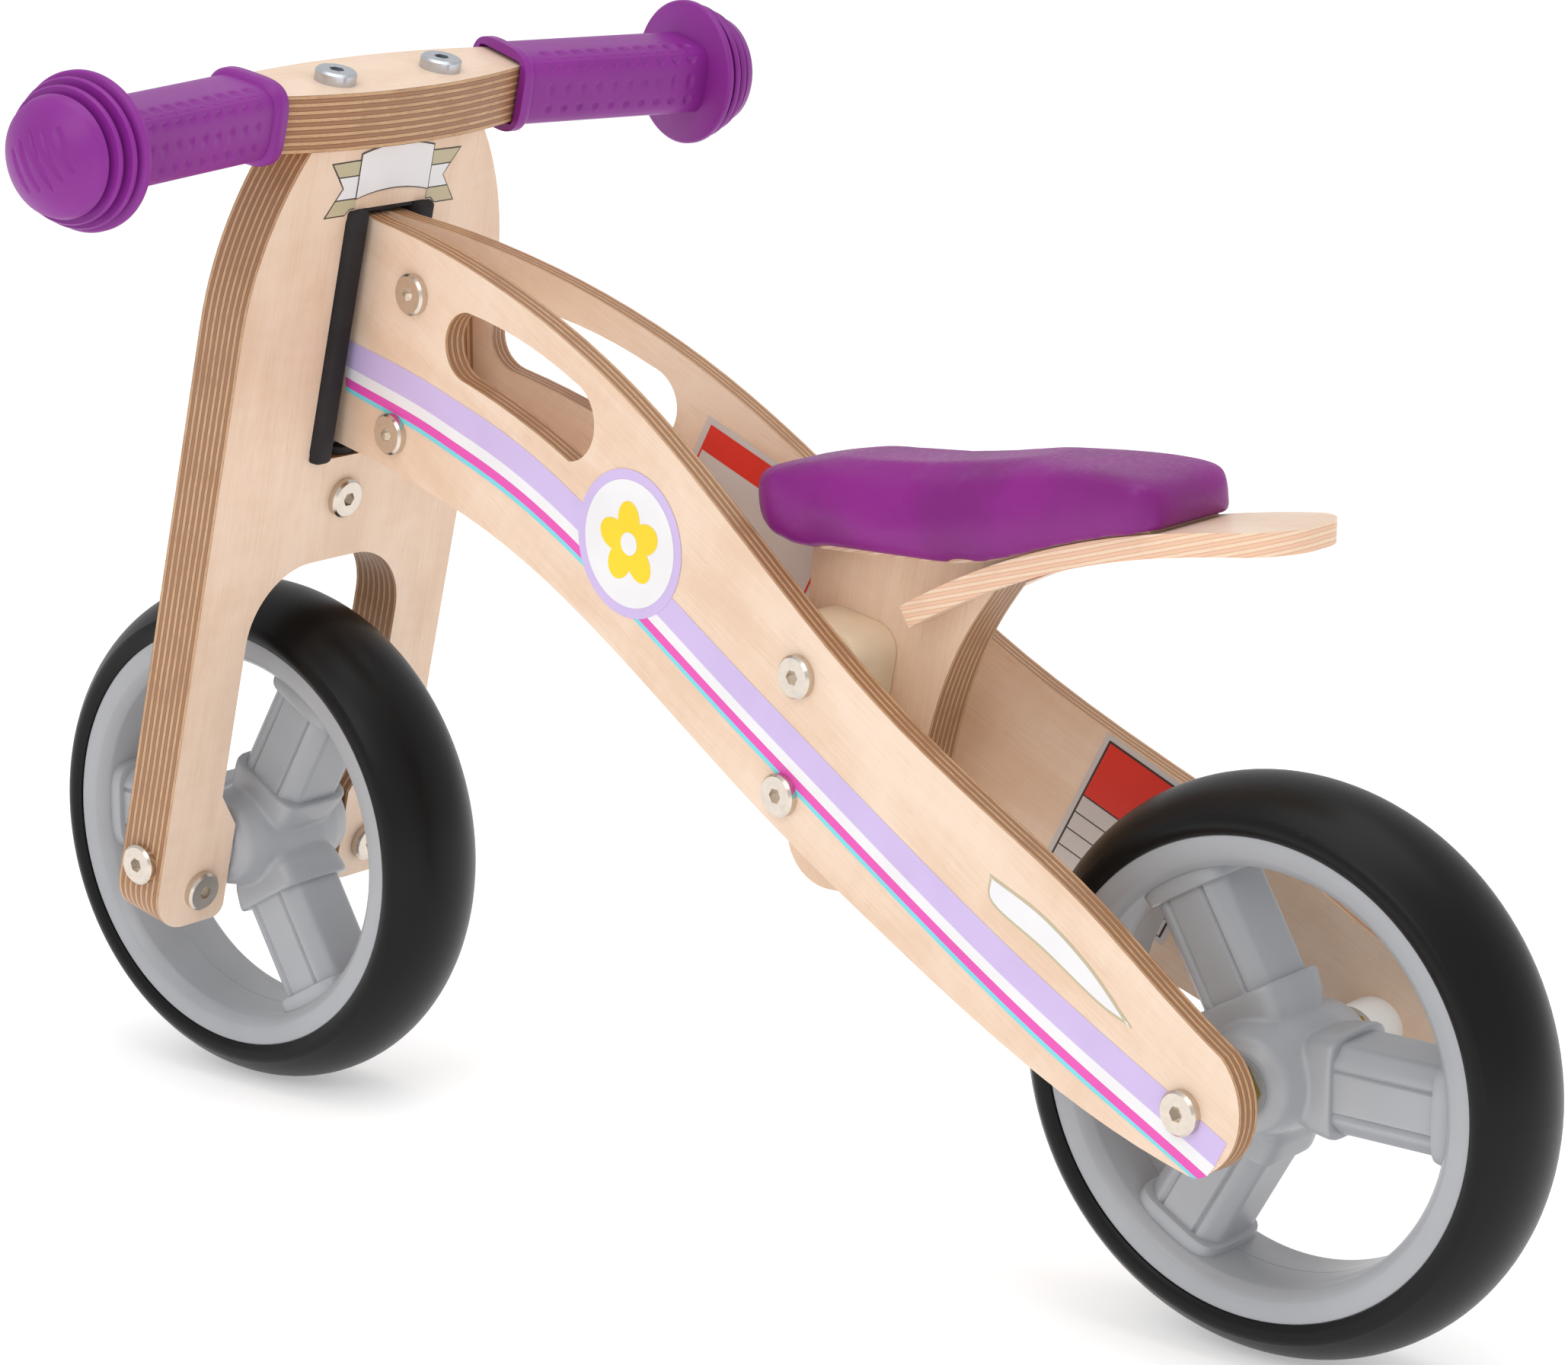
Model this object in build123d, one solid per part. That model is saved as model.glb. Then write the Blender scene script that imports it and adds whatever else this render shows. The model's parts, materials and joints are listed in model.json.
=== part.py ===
from build123d import *
from math import asin, atan2, cos, degrees, hypot, radians, sin, tan
import os

os.makedirs("parts", exist_ok=True)

# A child's wooden balance bike. +X points forward, +Y to the rider's left, +Z up.
# The origin lies on the floor, midway between the wheels. Sizes are in millimetres, angles in degrees.

# ------------------------------------------------------------------ wheels
wheel_diameter = 200.0
wheelbase = 476.6
rim_outer_radius = 83.0
rim_inner_radius = 75.5
rim_bed_radius = 79.0
rim_well_radius = 71.5
rim_half_width = 21.7
rim_lip = 2.8
tyre_half_width = 23.6
tread_radius = 30.0
shoulder_half_width = 22.5
hub_mid_radius = 21.0
hub_end_radius = 15.0
hub_half_length = 30.2
spoke_count = 3
spoke_across = 31.0
spoke_groove = 1.4
socket_across = 36.0
socket_reach = 26.0
cap_across = 37.0
cap_length = 8.0
bush_outer_radius = 8.5
bush_flange_radius = 11.0
bush_flange = 0.8
bush_length = 12.0
front_spoke_angle = 0.0
rear_spoke_angle = 180.0

# ------------------------------------------------------------------ clearances
running_gap = 0.05
slide_gap = 0.3
hole_gap = 0.2
side_gap = 0.3

# ------------------------------------------------------------------ bolts
bolt_radius = 3.0
bolt_head_radius = 7.8
bolt_head_height = 3.4
bar_bolt_head_height = 4.6
bolt_head_chamfer = 0.9
hex_across = 5.0
hex_depth = 2.4
sleeve_radius = 4.0

# ------------------------------------------------------------------ side boards
board_thickness = 9.0
board_splay = 7.2
board_rear_y = 62.0
rear_end_radius = 25.0
handle_radius = 15.0
head_bolt_spots = ((379.0, 323.0), (393.0, 269.0))
clamp_upper = (176.9, 213.7)
clamp_lower = (185.3, 170.1)
wedge_front = 400.0
wedge_rear = 369.0
wedge_low = 258.0
wedge_high = 334.0

# ------------------------------------------------------------------ fork board
rake = 13.63
fork_thickness = 22.0
fork_half_width = 68.0
fork_shoulder = 217.0
fork_shoulder_radius = 125.0
fork_top = 287.5
leg_bottom = -26.0
leg_corner = 16.0
leg_inner = 41.0
leg_pad = 31.3
pad_low = 13.0
pad_high = 27.0
arch_top = 119.5
arch_corner = 29.0
slot_half_width = 22.5
slot_low = 162.0
slot_high = 262.5
slot_corner = 5.0
axle_socket = 9.0
leg_bolt_x = 46.0
leg_bolt_y = -11.5
nut_depth = 15.0

# ------------------------------------------------------------------ steering
pin_radius = 4.0
pin_low = 134.0
tube_radius = 5.5
head_low = 168.7
head_high = 259.0
head_reach = 7.0
rubber_thickness = 10.0
rubber_proud = 4.0
top_pad = 1.5
washer_radius = 10.0
washer_height = 3.0
lock_bolt_height = 145.0

# ------------------------------------------------------------------ handlebar and grips
bar_thickness = 22.0
bar_front = 21.5
bar_rear = -15.3
bar_waist = 66.0
bar_end = 157.0
tenon_front = 16.0
tenon_rear = -7.5
grip_sweep = 9.3
bar_bolt_y = 28.0
bar_nut_height = 272.0
bar_nut_radius = 5.0
grip_start = 66.0
grip_wall = 3.3
collar_length = 5.0
collar_proud = 2.1
flange_radius = 28.1
flange_thickness = 2.4
ring_radii = (26.3, 24.1, 21.6)
ring_pitch = 4.85
ring_thickness = 2.5
ring_step = 4.0
dome_height = 9.5
grip_corner = 9.0
end_wall = 3.6
grip_rise = 0.8

# ------------------------------------------------------------------ seat
post_thickness = 19.0
post_travel = 28.0
post_foot = 129.0
post_top = 300.0
slot_side = 0.4
roof_extra = 30.0
spacer_half_width = 18.0
spacer_overhang = 17.5
spacer_corner = 10.0
plate_thickness = 8.0
plate_half_width = 22.0
tail_corner = 19.0
bend_start = 40.0
bend_height = 270.5
tail_run = 47.7
tail_lean = 4.5
plate_lean = 9.7
plate_slot_x = 98.0
nose_run = 103.0
nose_fall = 38.0
seat_level = 2.0
base_thickness = 6.0
base_half_width = 20.0
base_turn_start = 0.8
base_turn_end = 10.0
base_bend_radius = 150.0
base_flat = 44.0
base_lift = 0.4
cushion_half_width = 27.0
cushion_front = 219.0
cushion_rear = 39.5
cushion_lap = 3.0
nose_corner = 26.0
heel_corner = 14.0
screw_y = 14.0
screw_radius = 2.0
screw_head_radius = 4.0
screw_head_depth = 2.6
screw_bite = 4.0

# ------------------------------------------------------------------ axles
axle_radius = 5.0
axle_nut_across = 17.0
axle_nut_height = 7.0
white_spacer_radius = 11.0

# ------------------------------------------------------------------ worked-out values
UPWARD = (Align.CENTER, Align.CENTER, Align.MIN)
DOWNWARD = (Align.CENTER, Align.CENTER, Align.MAX)
axle_height = wheel_diameter / 2
rear_x = -wheelbase / 2
front_x = wheelbase / 2
board_slope = tan(radians(board_splay))
board_step = board_thickness / cos(radians(board_splay))
half_fork = fork_thickness / 2
half_post = post_thickness / 2
fork_frame = Plane(
    origin=(front_x, 0, axle_height),
    x_dir=(0, 1, 0),
    z_dir=(cos(radians(rake)), 0, sin(radians(rake))),
)
board_frame = Plane(
    origin=(rear_x, board_rear_y, 0),
    x_dir=(cos(radians(board_splay)), -sin(radians(board_splay)), 0),
    z_dir=(-sin(radians(board_splay)), -cos(radians(board_splay)), 0),
)


def on_fork(shape):
    """Places a shape drawn in the fork's frame: x across, y up the board from the axle, z forward."""
    return fork_frame.location * shape


def on_side(shape):
    """Places a shape drawn in the left side board's frame: x forward, y up, z into the board."""
    return board_frame.location * shape


def flip(shape):
    """Mirrors a shape to the other side of the bike."""
    return mirror(shape, about=Plane.XZ)


def board_point(x, z):
    """A point given by its distance ahead of the rear axle and its height, in the side board's frame."""
    return (x / cos(radians(board_splay)), z)


def outer_y(x):
    """How far the left board's outer face lies from the middle, x ahead of the rear axle."""
    return board_rear_y - board_slope * x


def rod_y(radius, x, z, start, end):
    """A rod along Y, x ahead of the rear axle and z up, from start to end."""
    rod = Cylinder(radius, end - start, align=UPWARD)
    return Location((rear_x + x, start, z)) * Rotation(-90, 0, 0) * rod


def rod_up(radius, low, high, x=0.0, z=0.0):
    """A rod along the fork frame's own up direction."""
    rod = Cylinder(radius, high - low, align=UPWARD)
    return Location((x, low, z)) * Rotation(-90, 0, 0) * rod


def rod_across(radius, start, end, y=0.0, z=0.0):
    """A rod along the fork frame's x direction."""
    rod = Cylinder(radius, end - start, align=UPWARD)
    return Location((start, y, z)) * Rotation(0, 90, 0) * rod


def bolt_head(height=bolt_head_height):
    """A flat bolt head on z = 0, with a chamfered rim and a hexagonal socket."""
    head = Cylinder(bolt_head_radius, height, align=UPWARD)
    head = chamfer(head.edges().group_by(Axis.Z)[-1], bolt_head_chamfer)
    socket = extrude(RegularPolygon(hex_across / 2, 6, major_radius=False), hex_depth + 1)
    return head - Pos(0, 0, height - hex_depth) * socket


def bolt(length, height=bolt_head_height):
    """A bolt whose head stands on z = 0 and whose shank points down."""
    return bolt_head(height) + Cylinder(bolt_radius, length, align=DOWNWARD)


def side_head(x, z):
    """A bolt head lying on the left side board's outer face."""
    return on_side(Location((*board_point(x, z), 0), (180, 0, 0)) * bolt_head())


def save(shape, name):
    """Writes one node, with its solids as a flat group."""
    solids = list(shape.solids())
    body = solids[0] if len(solids) == 1 else Compound(children=solids)
    export_step(body, f"parts/{name}.step")


# ------------------------------------------------------------------ side boards
def head_corner(height, forward):
    """A point of the fork's mid-plane region, as distance ahead of the rear axle and height."""
    lean = radians(rake)
    x = wheelbase - height * sin(lean) + forward * cos(lean)
    z = axle_height + height * cos(lean) + forward * sin(lean)
    return board_point(x, z)


def board_outline():
    """The side board's outline: an arched neck, a slim waist and a round end about the rear axle."""
    head_top = head_corner(head_high, -16.5)
    head_bottom = head_corner(head_low, -11.3)
    nose_top = head_corner(head_high, head_reach)
    nose_bottom = head_corner(head_low, head_reach)
    end_x = 1.3
    end_z = axle_height + 3.5
    end_start = board_point(end_x - 17.0, end_z + 18.3)
    end_middle = board_point(end_x - rear_end_radius, end_z)
    end_finish = board_point(end_x - 4.5, end_z - 24.6)
    top = Spline(
        head_top,
        board_point(349.2, 336.3),
        board_point(263.5, 298.6),
        board_point(193.0, 247.9),
        board_point(145.8, 214.1),
        board_point(86.6, 181.5),
        board_point(45.0, 160.0),
        board_point(12.4, 138.8),
        end_start,
    )
    end = ThreePointArc(end_start, end_middle, end_finish)
    bottom = Spline(
        end_finish,
        board_point(31.1, 86.7),
        board_point(126.7, 125.8),
        board_point(202.9, 165.7),
        board_point(270.7, 206.5),
        board_point(327.2, 235.0),
        board_point(376.2, 250.7),
        head_bottom,
    )
    nose = Polyline(head_bottom, nose_bottom, nose_top, head_top)
    return make_face([top, end, bottom, nose])


def handle_hole():
    """The bean-shaped hand hole, bent along the neck."""
    front_low = board_point(353.0, 294.0)
    front = board_point(361.8, 306.0)
    front_high = board_point(349.0, 319.6)
    rear_high = board_point(291.0, 301.6)
    rear = board_point(281.0, 284.0)
    rear_low = board_point(294.5, 272.2)
    outline = [
        ThreePointArc(front_low, front, front_high),
        ThreePointArc(front_high, board_point(321.0, 313.4), rear_high),
        ThreePointArc(rear_high, rear, rear_low),
        ThreePointArc(rear_low, board_point(322.0, 284.0), front_low),
    ]
    return make_face(outline)


def make_side_board():
    """The left side board, bevelled where the boards meet, bored for its bolts and the steering tube."""
    board = on_side(extrude(board_outline(), board_thickness))
    board -= on_side(Pos(0, 0, -1) * extrude(handle_hole(), board_thickness + 2))
    left_space = Box(2 * wheelbase, wheelbase, 2 * wheelbase, align=(Align.CENTER, Align.MIN, Align.CENTER))
    board &= left_space
    board -= on_fork(rod_up(tube_radius, head_low - 10, head_high + 10))
    for x, z in (*head_bolt_spots, clamp_upper, clamp_lower, (0.0, axle_height)):
        board -= rod_y(bolt_radius + hole_gap, x, z, -1, outer_y(x) + 5)
    return board


def sleeve_holes(board):
    """Widens the right board's holes for the sleeve nuts."""
    for x, z in (*head_bolt_spots, clamp_upper, clamp_lower):
        board -= rod_y(sleeve_radius + hole_gap, x, z, -outer_y(x) - 5, 1)
    return board


left_board = make_side_board()
save(left_board, "left_side_board")
right_board = sleeve_holes(flip(left_board))
save(right_board, "right_side_board")

# ------------------------------------------------------------------ steering head
def make_head_wedge():
    """The hardwood wedge that fills the narrow space between the boards behind the steering tube."""
    corners = []
    for x in (wedge_front, wedge_rear):
        corners.append((rear_x + x, outer_y(x) - board_step))
    for x, y in reversed(corners[:]):
        corners.append((x, -y))
    outline = Polyline(*corners, close=True)
    wedge = Pos(0, 0, wedge_low) * extrude(make_face(outline), wedge_high - wedge_low)
    for x, z in head_bolt_spots:
        wedge -= rod_y(sleeve_radius + hole_gap, x, z, -20, 20)
    return wedge


save(make_head_wedge(), "head_wedge")

tube_low = slot_low + washer_height + side_gap
tube_high = slot_high - washer_height - side_gap
steering_tube = rod_up(tube_radius, tube_low, tube_high)
steering_tube -= rod_up(pin_radius + running_gap, pin_low, fork_top)
save(on_fork(steering_tube), "steering_tube")


def through_bolts(spots, reach):
    """Bolts from the left board's outer face, with their shanks ending at y = reach."""
    group = []
    for x, z in spots:
        group.append(side_head(x, z) + rod_y(bolt_radius, x, z, reach, outer_y(x) + 0.4))
    return Compound(children=group)


def sleeve_nuts(spots, reach):
    """Sleeve nuts from the right board's outer face, with their sleeves ending at y = reach."""
    group = []
    for x, z in spots:
        sleeve = rod_y(sleeve_radius, x, z, -outer_y(x) - 0.4, reach)
        sleeve -= rod_y(bolt_radius, x, z, -outer_y(x) + 6, reach + 1)
        group.append(flip(side_head(x, z)) + sleeve)
    return Compound(children=group)


save(through_bolts(head_bolt_spots, -5.0), "head_bolts")
save(sleeve_nuts(head_bolt_spots, 2.0), "head_nuts")
clamp_spots = (clamp_upper, clamp_lower)
save(through_bolts(clamp_spots, -26.0), "seat_clamp_bolts")
save(sleeve_nuts(clamp_spots, -14.0), "seat_clamp_nuts")

# ------------------------------------------------------------------ seat clamp spacers
clamp_x = (clamp_upper[0] + clamp_lower[0]) / 2
clamp_z = (clamp_upper[1] + clamp_lower[1]) / 2
clamp_pitch = hypot(clamp_upper[0] - clamp_lower[0], clamp_upper[1] - clamp_lower[1])
post_lean = degrees(atan2(clamp_lower[0] - clamp_upper[0], clamp_upper[1] - clamp_lower[1]))
slide_frame = Plane(
    origin=(rear_x + clamp_x, 0, clamp_z),
    x_dir=(cos(radians(post_lean)), 0, sin(radians(post_lean))),
    z_dir=(0, -1, 0),
)


def inner_wedge_limit(shape):
    """Trims a shape on the left to the space inside the left side board."""
    inside = Box(3 * wheelbase, 3 * wheelbase, 200, align=UPWARD)
    return shape & on_side(Pos(0, 0, board_thickness) * inside)


def make_spacer():
    """The left moulded spacer: flat against the post, slanted against the board."""
    outline = RectangleRounded(2 * spacer_half_width, clamp_pitch + 2 * spacer_overhang, spacer_corner)
    block = slide_frame.location * extrude(outline, -board_rear_y)
    block -= Pos(0, -50 + half_post + slide_gap, 0) * Box(2 * wheelbase, 100, 2 * wheelbase)
    block = inner_wedge_limit(block)
    for x, z in clamp_spots:
        block -= rod_y(bolt_radius + hole_gap, x, z, 0, board_rear_y)
    return block


spacer = make_spacer()
save(spacer, "seat_spacer_left")
right_spacer = flip(spacer)
for x, z in clamp_spots:
    right_spacer -= rod_y(sleeve_radius + hole_gap, x, z, -board_rear_y, 0)
save(right_spacer, "seat_spacer_right")

# ------------------------------------------------------------------ rear axle
board_inner_rear = board_rear_y - board_step


rear_axle = rod_y(axle_radius, 0, axle_height, 0, board_rear_y)
rear_axle = inner_wedge_limit(rear_axle)
rear_axle -= rod_y(bolt_radius, 0, axle_height, board_inner_rear - 22, board_rear_y)
rear_axle = rear_axle + flip(rear_axle)
save(rear_axle, "rear_axle")

rear_shank = rod_y(bolt_radius, 0, axle_height, board_inner_rear - 18, board_rear_y + 0.4)
rear_bolt = side_head(0, axle_height) + rear_shank
save(Compound(children=[rear_bolt, flip(rear_bolt)]), "rear_axle_bolts")

nut_start = hub_half_length + bush_flange + side_gap
nut = RegularPolygon(axle_nut_across / 2, 6, major_radius=False) - Circle(axle_radius)
nut = Location((rear_x, nut_start, axle_height)) * Rotation(-90, 0, 0) * extrude(nut, axle_nut_height)
save(Compound(children=[nut, flip(nut)]), "rear_axle_nuts")

white_spacer = rod_y(white_spacer_radius, 0, axle_height, nut_start + axle_nut_height, board_rear_y)
white_spacer -= rod_y(axle_radius, 0, axle_height, 0, board_rear_y)
white_spacer = inner_wedge_limit(white_spacer)
save(Compound(children=[white_spacer, flip(white_spacer)]), "rear_spacers")


# ------------------------------------------------------------------ fork board
def fork_outline():
    """Half of the fork board's outline, closed along the centre."""
    rise = fork_top - fork_shoulder
    top_half = fork_half_width - fork_shoulder_radius * (1 - cos(asin(rise / fork_shoulder_radius)))
    mid_angle = asin(rise / fork_shoulder_radius) / 2
    shoulder_x = fork_half_width - fork_shoulder_radius * (1 - cos(mid_angle))
    shoulder_y = fork_shoulder + fork_shoulder_radius * sin(mid_angle)
    edge = [
        Line((0, fork_top), (top_half, fork_top)),
        ThreePointArc((top_half, fork_top), (shoulder_x, shoulder_y), (fork_half_width, fork_shoulder)),
        Line((fork_half_width, fork_shoulder), (fork_half_width, leg_bottom)),
        Line((fork_half_width, leg_bottom), (leg_pad, leg_bottom)),
        Line((leg_pad, leg_bottom), (leg_pad, pad_low)),
        Line((leg_pad, pad_low), (leg_inner, pad_high)),
        Line((leg_inner, pad_high), (leg_inner, arch_top)),
        Line((leg_inner, arch_top), (0, arch_top)),
        Line((0, arch_top), (0, fork_top)),
    ]
    return make_face(edge)


def make_fork():
    """The fork board: arched legs below, a slot for the side boards above."""
    half = extrude(fork_outline(), half_fork, both=True)
    fork = half + mirror(half, about=Plane.YZ)
    rounded = (
        (leg_corner, leg_bottom, fork_half_width),
        (leg_corner / 3, leg_bottom, leg_pad),
        (arch_corner, arch_top, leg_inner),
    )
    for radius, height, across in rounded:
        chosen = []
        for edge in fork.edges().filter_by(Axis.Z):
            spot = edge.center()
            if abs(spot.Y - height) < 0.1 and abs(abs(spot.X) - across) < 0.1:
                chosen.append(edge)
        fork = fillet(chosen, radius)
    slot_height = slot_high - slot_low
    slot = extrude(RectangleRounded(2 * slot_half_width, slot_height, slot_corner), half_fork + 1, both=True)
    fork -= Pos(0, (slot_low + slot_high) / 2, 0) * slot
    fork -= rod_up(pin_radius + running_gap, pin_low, fork_top + 1)
    fork -= rod_across(bolt_radius + hole_gap, -fork_half_width - 1, fork_half_width + 1)
    fork -= rod_across(axle_radius + running_gap, -leg_pad - axle_socket, leg_pad + axle_socket)
    lock_hole = Cylinder(bolt_radius + hole_gap, half_fork + 1, align=DOWNWARD)
    fork -= Pos(0, lock_bolt_height, 0) * lock_hole
    for side in (-1, 1):
        fork -= rod_up(bolt_radius + hole_gap, bar_nut_height - 8, fork_top + 1, x=side * bar_bolt_y)
        fork -= Pos(side * bar_bolt_y, bar_nut_height, 0) * nut_blank(bar_nut_radius + running_gap)
        leg_hole = Cylinder(bolt_radius + hole_gap, fork_thickness + 2)
        fork -= Pos(side * leg_bolt_x, leg_bolt_y, 0) * leg_hole
        nut_hole = Cylinder(sleeve_radius + hole_gap, half_fork + 1, align=UPWARD)
        fork -= Pos(side * leg_bolt_x, leg_bolt_y, 0) * nut_hole
    return fork


def nut_blank(radius):
    """A cross-dowel nut's cylinder, let into the fork board's front face."""
    return Pos(0, 0, half_fork - nut_depth) * Cylinder(radius, nut_depth, align=UPWARD)


save(on_fork(make_fork()), "fork_board")

steering_pin = rod_up(pin_radius, pin_low, fork_top)
steering_pin -= Pos(0, lock_bolt_height, 0) * Cylinder(bolt_radius, pin_radius * 2, align=DOWNWARD)
save(on_fork(steering_pin), "steering_pin")
lock_bolt = Location((0, lock_bolt_height, -half_fork), (180, 0, 0)) * bolt(half_fork - 0.5)
save(on_fork(lock_bolt), "pin_lock_bolt")


# ------------------------------------------------------------------ stops and bearings in the slot
def make_rubber(side):
    """One rubber stop strip along the slot's side, standing a little proud of the rear face."""
    height = slot_high - slot_low
    depth = fork_thickness + rubber_proud
    strip = Box(rubber_thickness, height, depth, align=DOWNWARD)
    back = strip.edges().group_by(Axis.Z)[0]
    strip = fillet(back.filter_by(Axis.Y), 3.0)
    middle = slot_half_width - rubber_thickness / 2
    strip = Pos(side * middle, (slot_low + slot_high) / 2, half_fork) * strip
    hole = extrude(RectangleRounded(2 * slot_half_width, height, slot_corner), fork_thickness * 2, both=True)
    return strip & Pos(0, (slot_low + slot_high) / 2, 0) * hole


save(on_fork(make_rubber(1)), "stop_rubber_left")
save(on_fork(make_rubber(-1)), "stop_rubber_right")

pad_half = slot_half_width - rubber_thickness
pad = Box(2 * pad_half, top_pad, fork_thickness, align=(Align.CENTER, Align.MAX, Align.CENTER))
pad = Pos(0, slot_high, 0) * pad - rod_up(washer_radius + hole_gap, slot_high - 10, slot_high + 1)
save(on_fork(pad), "slot_top_pad")

washers = []
for low in (slot_low, slot_high - washer_height):
    ring = rod_up(washer_radius, low, low + washer_height)
    ring -= rod_up(pin_radius + running_gap, pin_low, fork_top)
    washers.append(on_fork(ring))
save(Compound(children=washers), "thrust_washers")


# ------------------------------------------------------------------ handlebar
def grip_centre(across):
    """How far forward the grip's axis lies at a distance across from the middle."""
    start = (tenon_front + tenon_rear) / 2
    return start - (across - bar_waist) * tan(radians(grip_sweep))


tenon_half = (tenon_front - tenon_rear) / 2


def make_handlebar():
    """The flat handlebar board: a lens in the middle, with slim ends swept back for the grips."""
    end_front = grip_centre(bar_end) + tenon_half
    end_rear = grip_centre(bar_end) - tenon_half
    outline = [
        ThreePointArc((-bar_waist, tenon_front), (0, bar_front), (bar_waist, tenon_front)),
        Line((bar_waist, tenon_front), (bar_end, end_front)),
        Line((bar_end, end_front), (bar_end, end_rear)),
        Line((bar_end, end_rear), (bar_waist, tenon_rear)),
        ThreePointArc((bar_waist, tenon_rear), (0, bar_rear), (-bar_waist, tenon_rear)),
        Line((-bar_waist, tenon_rear), (-bar_end, end_rear)),
        Line((-bar_end, end_rear), (-bar_end, end_front)),
        Line((-bar_end, end_front), (-bar_waist, tenon_front)),
    ]
    board = extrude(make_face(outline), bar_thickness)
    board = Pos(0, fork_top, 0) * bar_plane.location * board
    for side in (-1, 1):
        board -= rod_up(bolt_radius + hole_gap, fork_top - 1, fork_top + bar_thickness + 1, side * bar_bolt_y)
    return board


# Drawn with x across and y forward, and extruded up the fork.
bar_plane = Plane(origin=(0, 0, 0), x_dir=(-1, 0, 0), z_dir=(0, 1, 0))
handlebar = make_handlebar()
save(on_fork(handlebar), "handlebar")

bar_bolts = []
bar_nuts = []
for side in (-1, 1):
    reach = fork_top + bar_thickness - bar_nut_height + 4
    stand = Location((side * bar_bolt_y, fork_top + bar_thickness, 0), (-90, 0, 0))
    one = stand * bolt(reach, bar_bolt_head_height)
    bar_bolts.append(on_fork(one))
    blank = Pos(side * bar_bolt_y, bar_nut_height, 0) * nut_blank(bar_nut_radius)
    bar_nuts.append(on_fork(blank - rod_up(bolt_radius, bar_nut_height - 8, fork_top, x=side * bar_bolt_y)))
save(Compound(children=bar_bolts), "handlebar_bolts")
save(Compound(children=bar_nuts), "handlebar_barrel_nuts")


# ------------------------------------------------------------------ grips
def grip_end(level):
    """The turned end of the grip about Z: a wide flange, stacked rings and a low dome."""
    spots = [(0, level), (flange_radius, level), (flange_radius, level + flange_thickness)]
    level += flange_thickness
    for radius in ring_radii:
        spots.append((radius - ring_step, level))
        spots.append((radius - ring_step, level + ring_pitch - ring_thickness))
        spots.append((radius, level + ring_pitch - ring_thickness))
        spots.append((radius, level + ring_pitch))
        level += ring_pitch
    tip = level + dome_height
    ball = (ring_radii[-1] ** 2 + dome_height**2) / (2 * dome_height)
    shoulder = (ball * sin(radians(25)), tip - ball * (1 - cos(radians(25))))
    outline = [Polyline(*spots), ThreePointArc(spots[-1], shoulder, (0, tip)), Line((0, tip), spots[0])]
    return revolve(Plane.XZ * make_face(outline), Axis.Z)


def make_grip():
    """The left grip: collar, square-ish barrel, wide flange, stacked rings and a domed end."""
    run = (bar_end - grip_start) / cos(radians(grip_sweep)) + end_wall
    wide = 2 * (tenon_half + grip_wall)
    high = bar_thickness + 2 * grip_wall
    barrel = extrude(RectangleRounded(wide, high, grip_corner), run)
    outline = RectangleRounded(wide + 2 * collar_proud, high + 2 * collar_proud, grip_corner + collar_proud)
    collar = extrude(outline, collar_length)
    collar = fillet(collar.edges().group_by(Axis.Z)[-1], collar_proud * 0.8)
    body = barrel + collar + grip_end(run - 1)
    middle = fork_top + bar_thickness / 2
    start = Plane(
        origin=(grip_start, middle, grip_centre(grip_start)),
        x_dir=(sin(radians(grip_sweep)), 0, cos(radians(grip_sweep))),
        z_dir=(cos(radians(grip_sweep)), 0, -sin(radians(grip_sweep))),
    )
    return start.location * Rotation(grip_rise, 0, 0) * body


grip = make_grip() - handlebar
grip = on_fork(max(grip.solids(), key=lambda solid: solid.volume))
save(grip, "grip_left")
save(flip(grip), "grip_right")

# ------------------------------------------------------------------ front axle and leg bolts
axle_half = leg_pad + axle_socket
front_axle = rod_across(axle_radius, -axle_half, axle_half)
for start in (-axle_half, axle_half - 14):
    front_axle -= rod_across(bolt_radius, start, start + 14)
save(on_fork(front_axle), "front_axle")

front_bolts = []
leg_bolts = []
leg_nuts = []
for side in (-1, 1):
    turn = Location((side * fork_half_width, 0, 0), (0, side * 90, 0))
    front_bolts.append(on_fork(turn * bolt(fork_half_width - axle_half + 11)))
    seat = Location((side * leg_bolt_x, leg_bolt_y, -half_fork), (180, 0, 0))
    leg_bolts.append(on_fork(seat * bolt(fork_thickness - 5)))
    cap = bolt_head() + Cylinder(sleeve_radius, half_fork - 1, align=DOWNWARD)
    cap -= Pos(0, 0, -half_fork) * Cylinder(bolt_radius, 7, align=UPWARD)
    leg_nuts.append(on_fork(Pos(side * leg_bolt_x, leg_bolt_y, half_fork) * cap))
save(Compound(children=front_bolts), "front_axle_bolts")
save(Compound(children=leg_bolts), "leg_bolts")
save(Compound(children=leg_nuts), "leg_nuts")


# ------------------------------------------------------------------ wheels
def ring_section(points):
    """Revolves a closed outline of (radius, across) points about the wheel's own axis, Z."""
    outline = Polyline(*points, close=True)
    return revolve(Plane.XZ * make_face(outline), Axis.Z)


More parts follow.
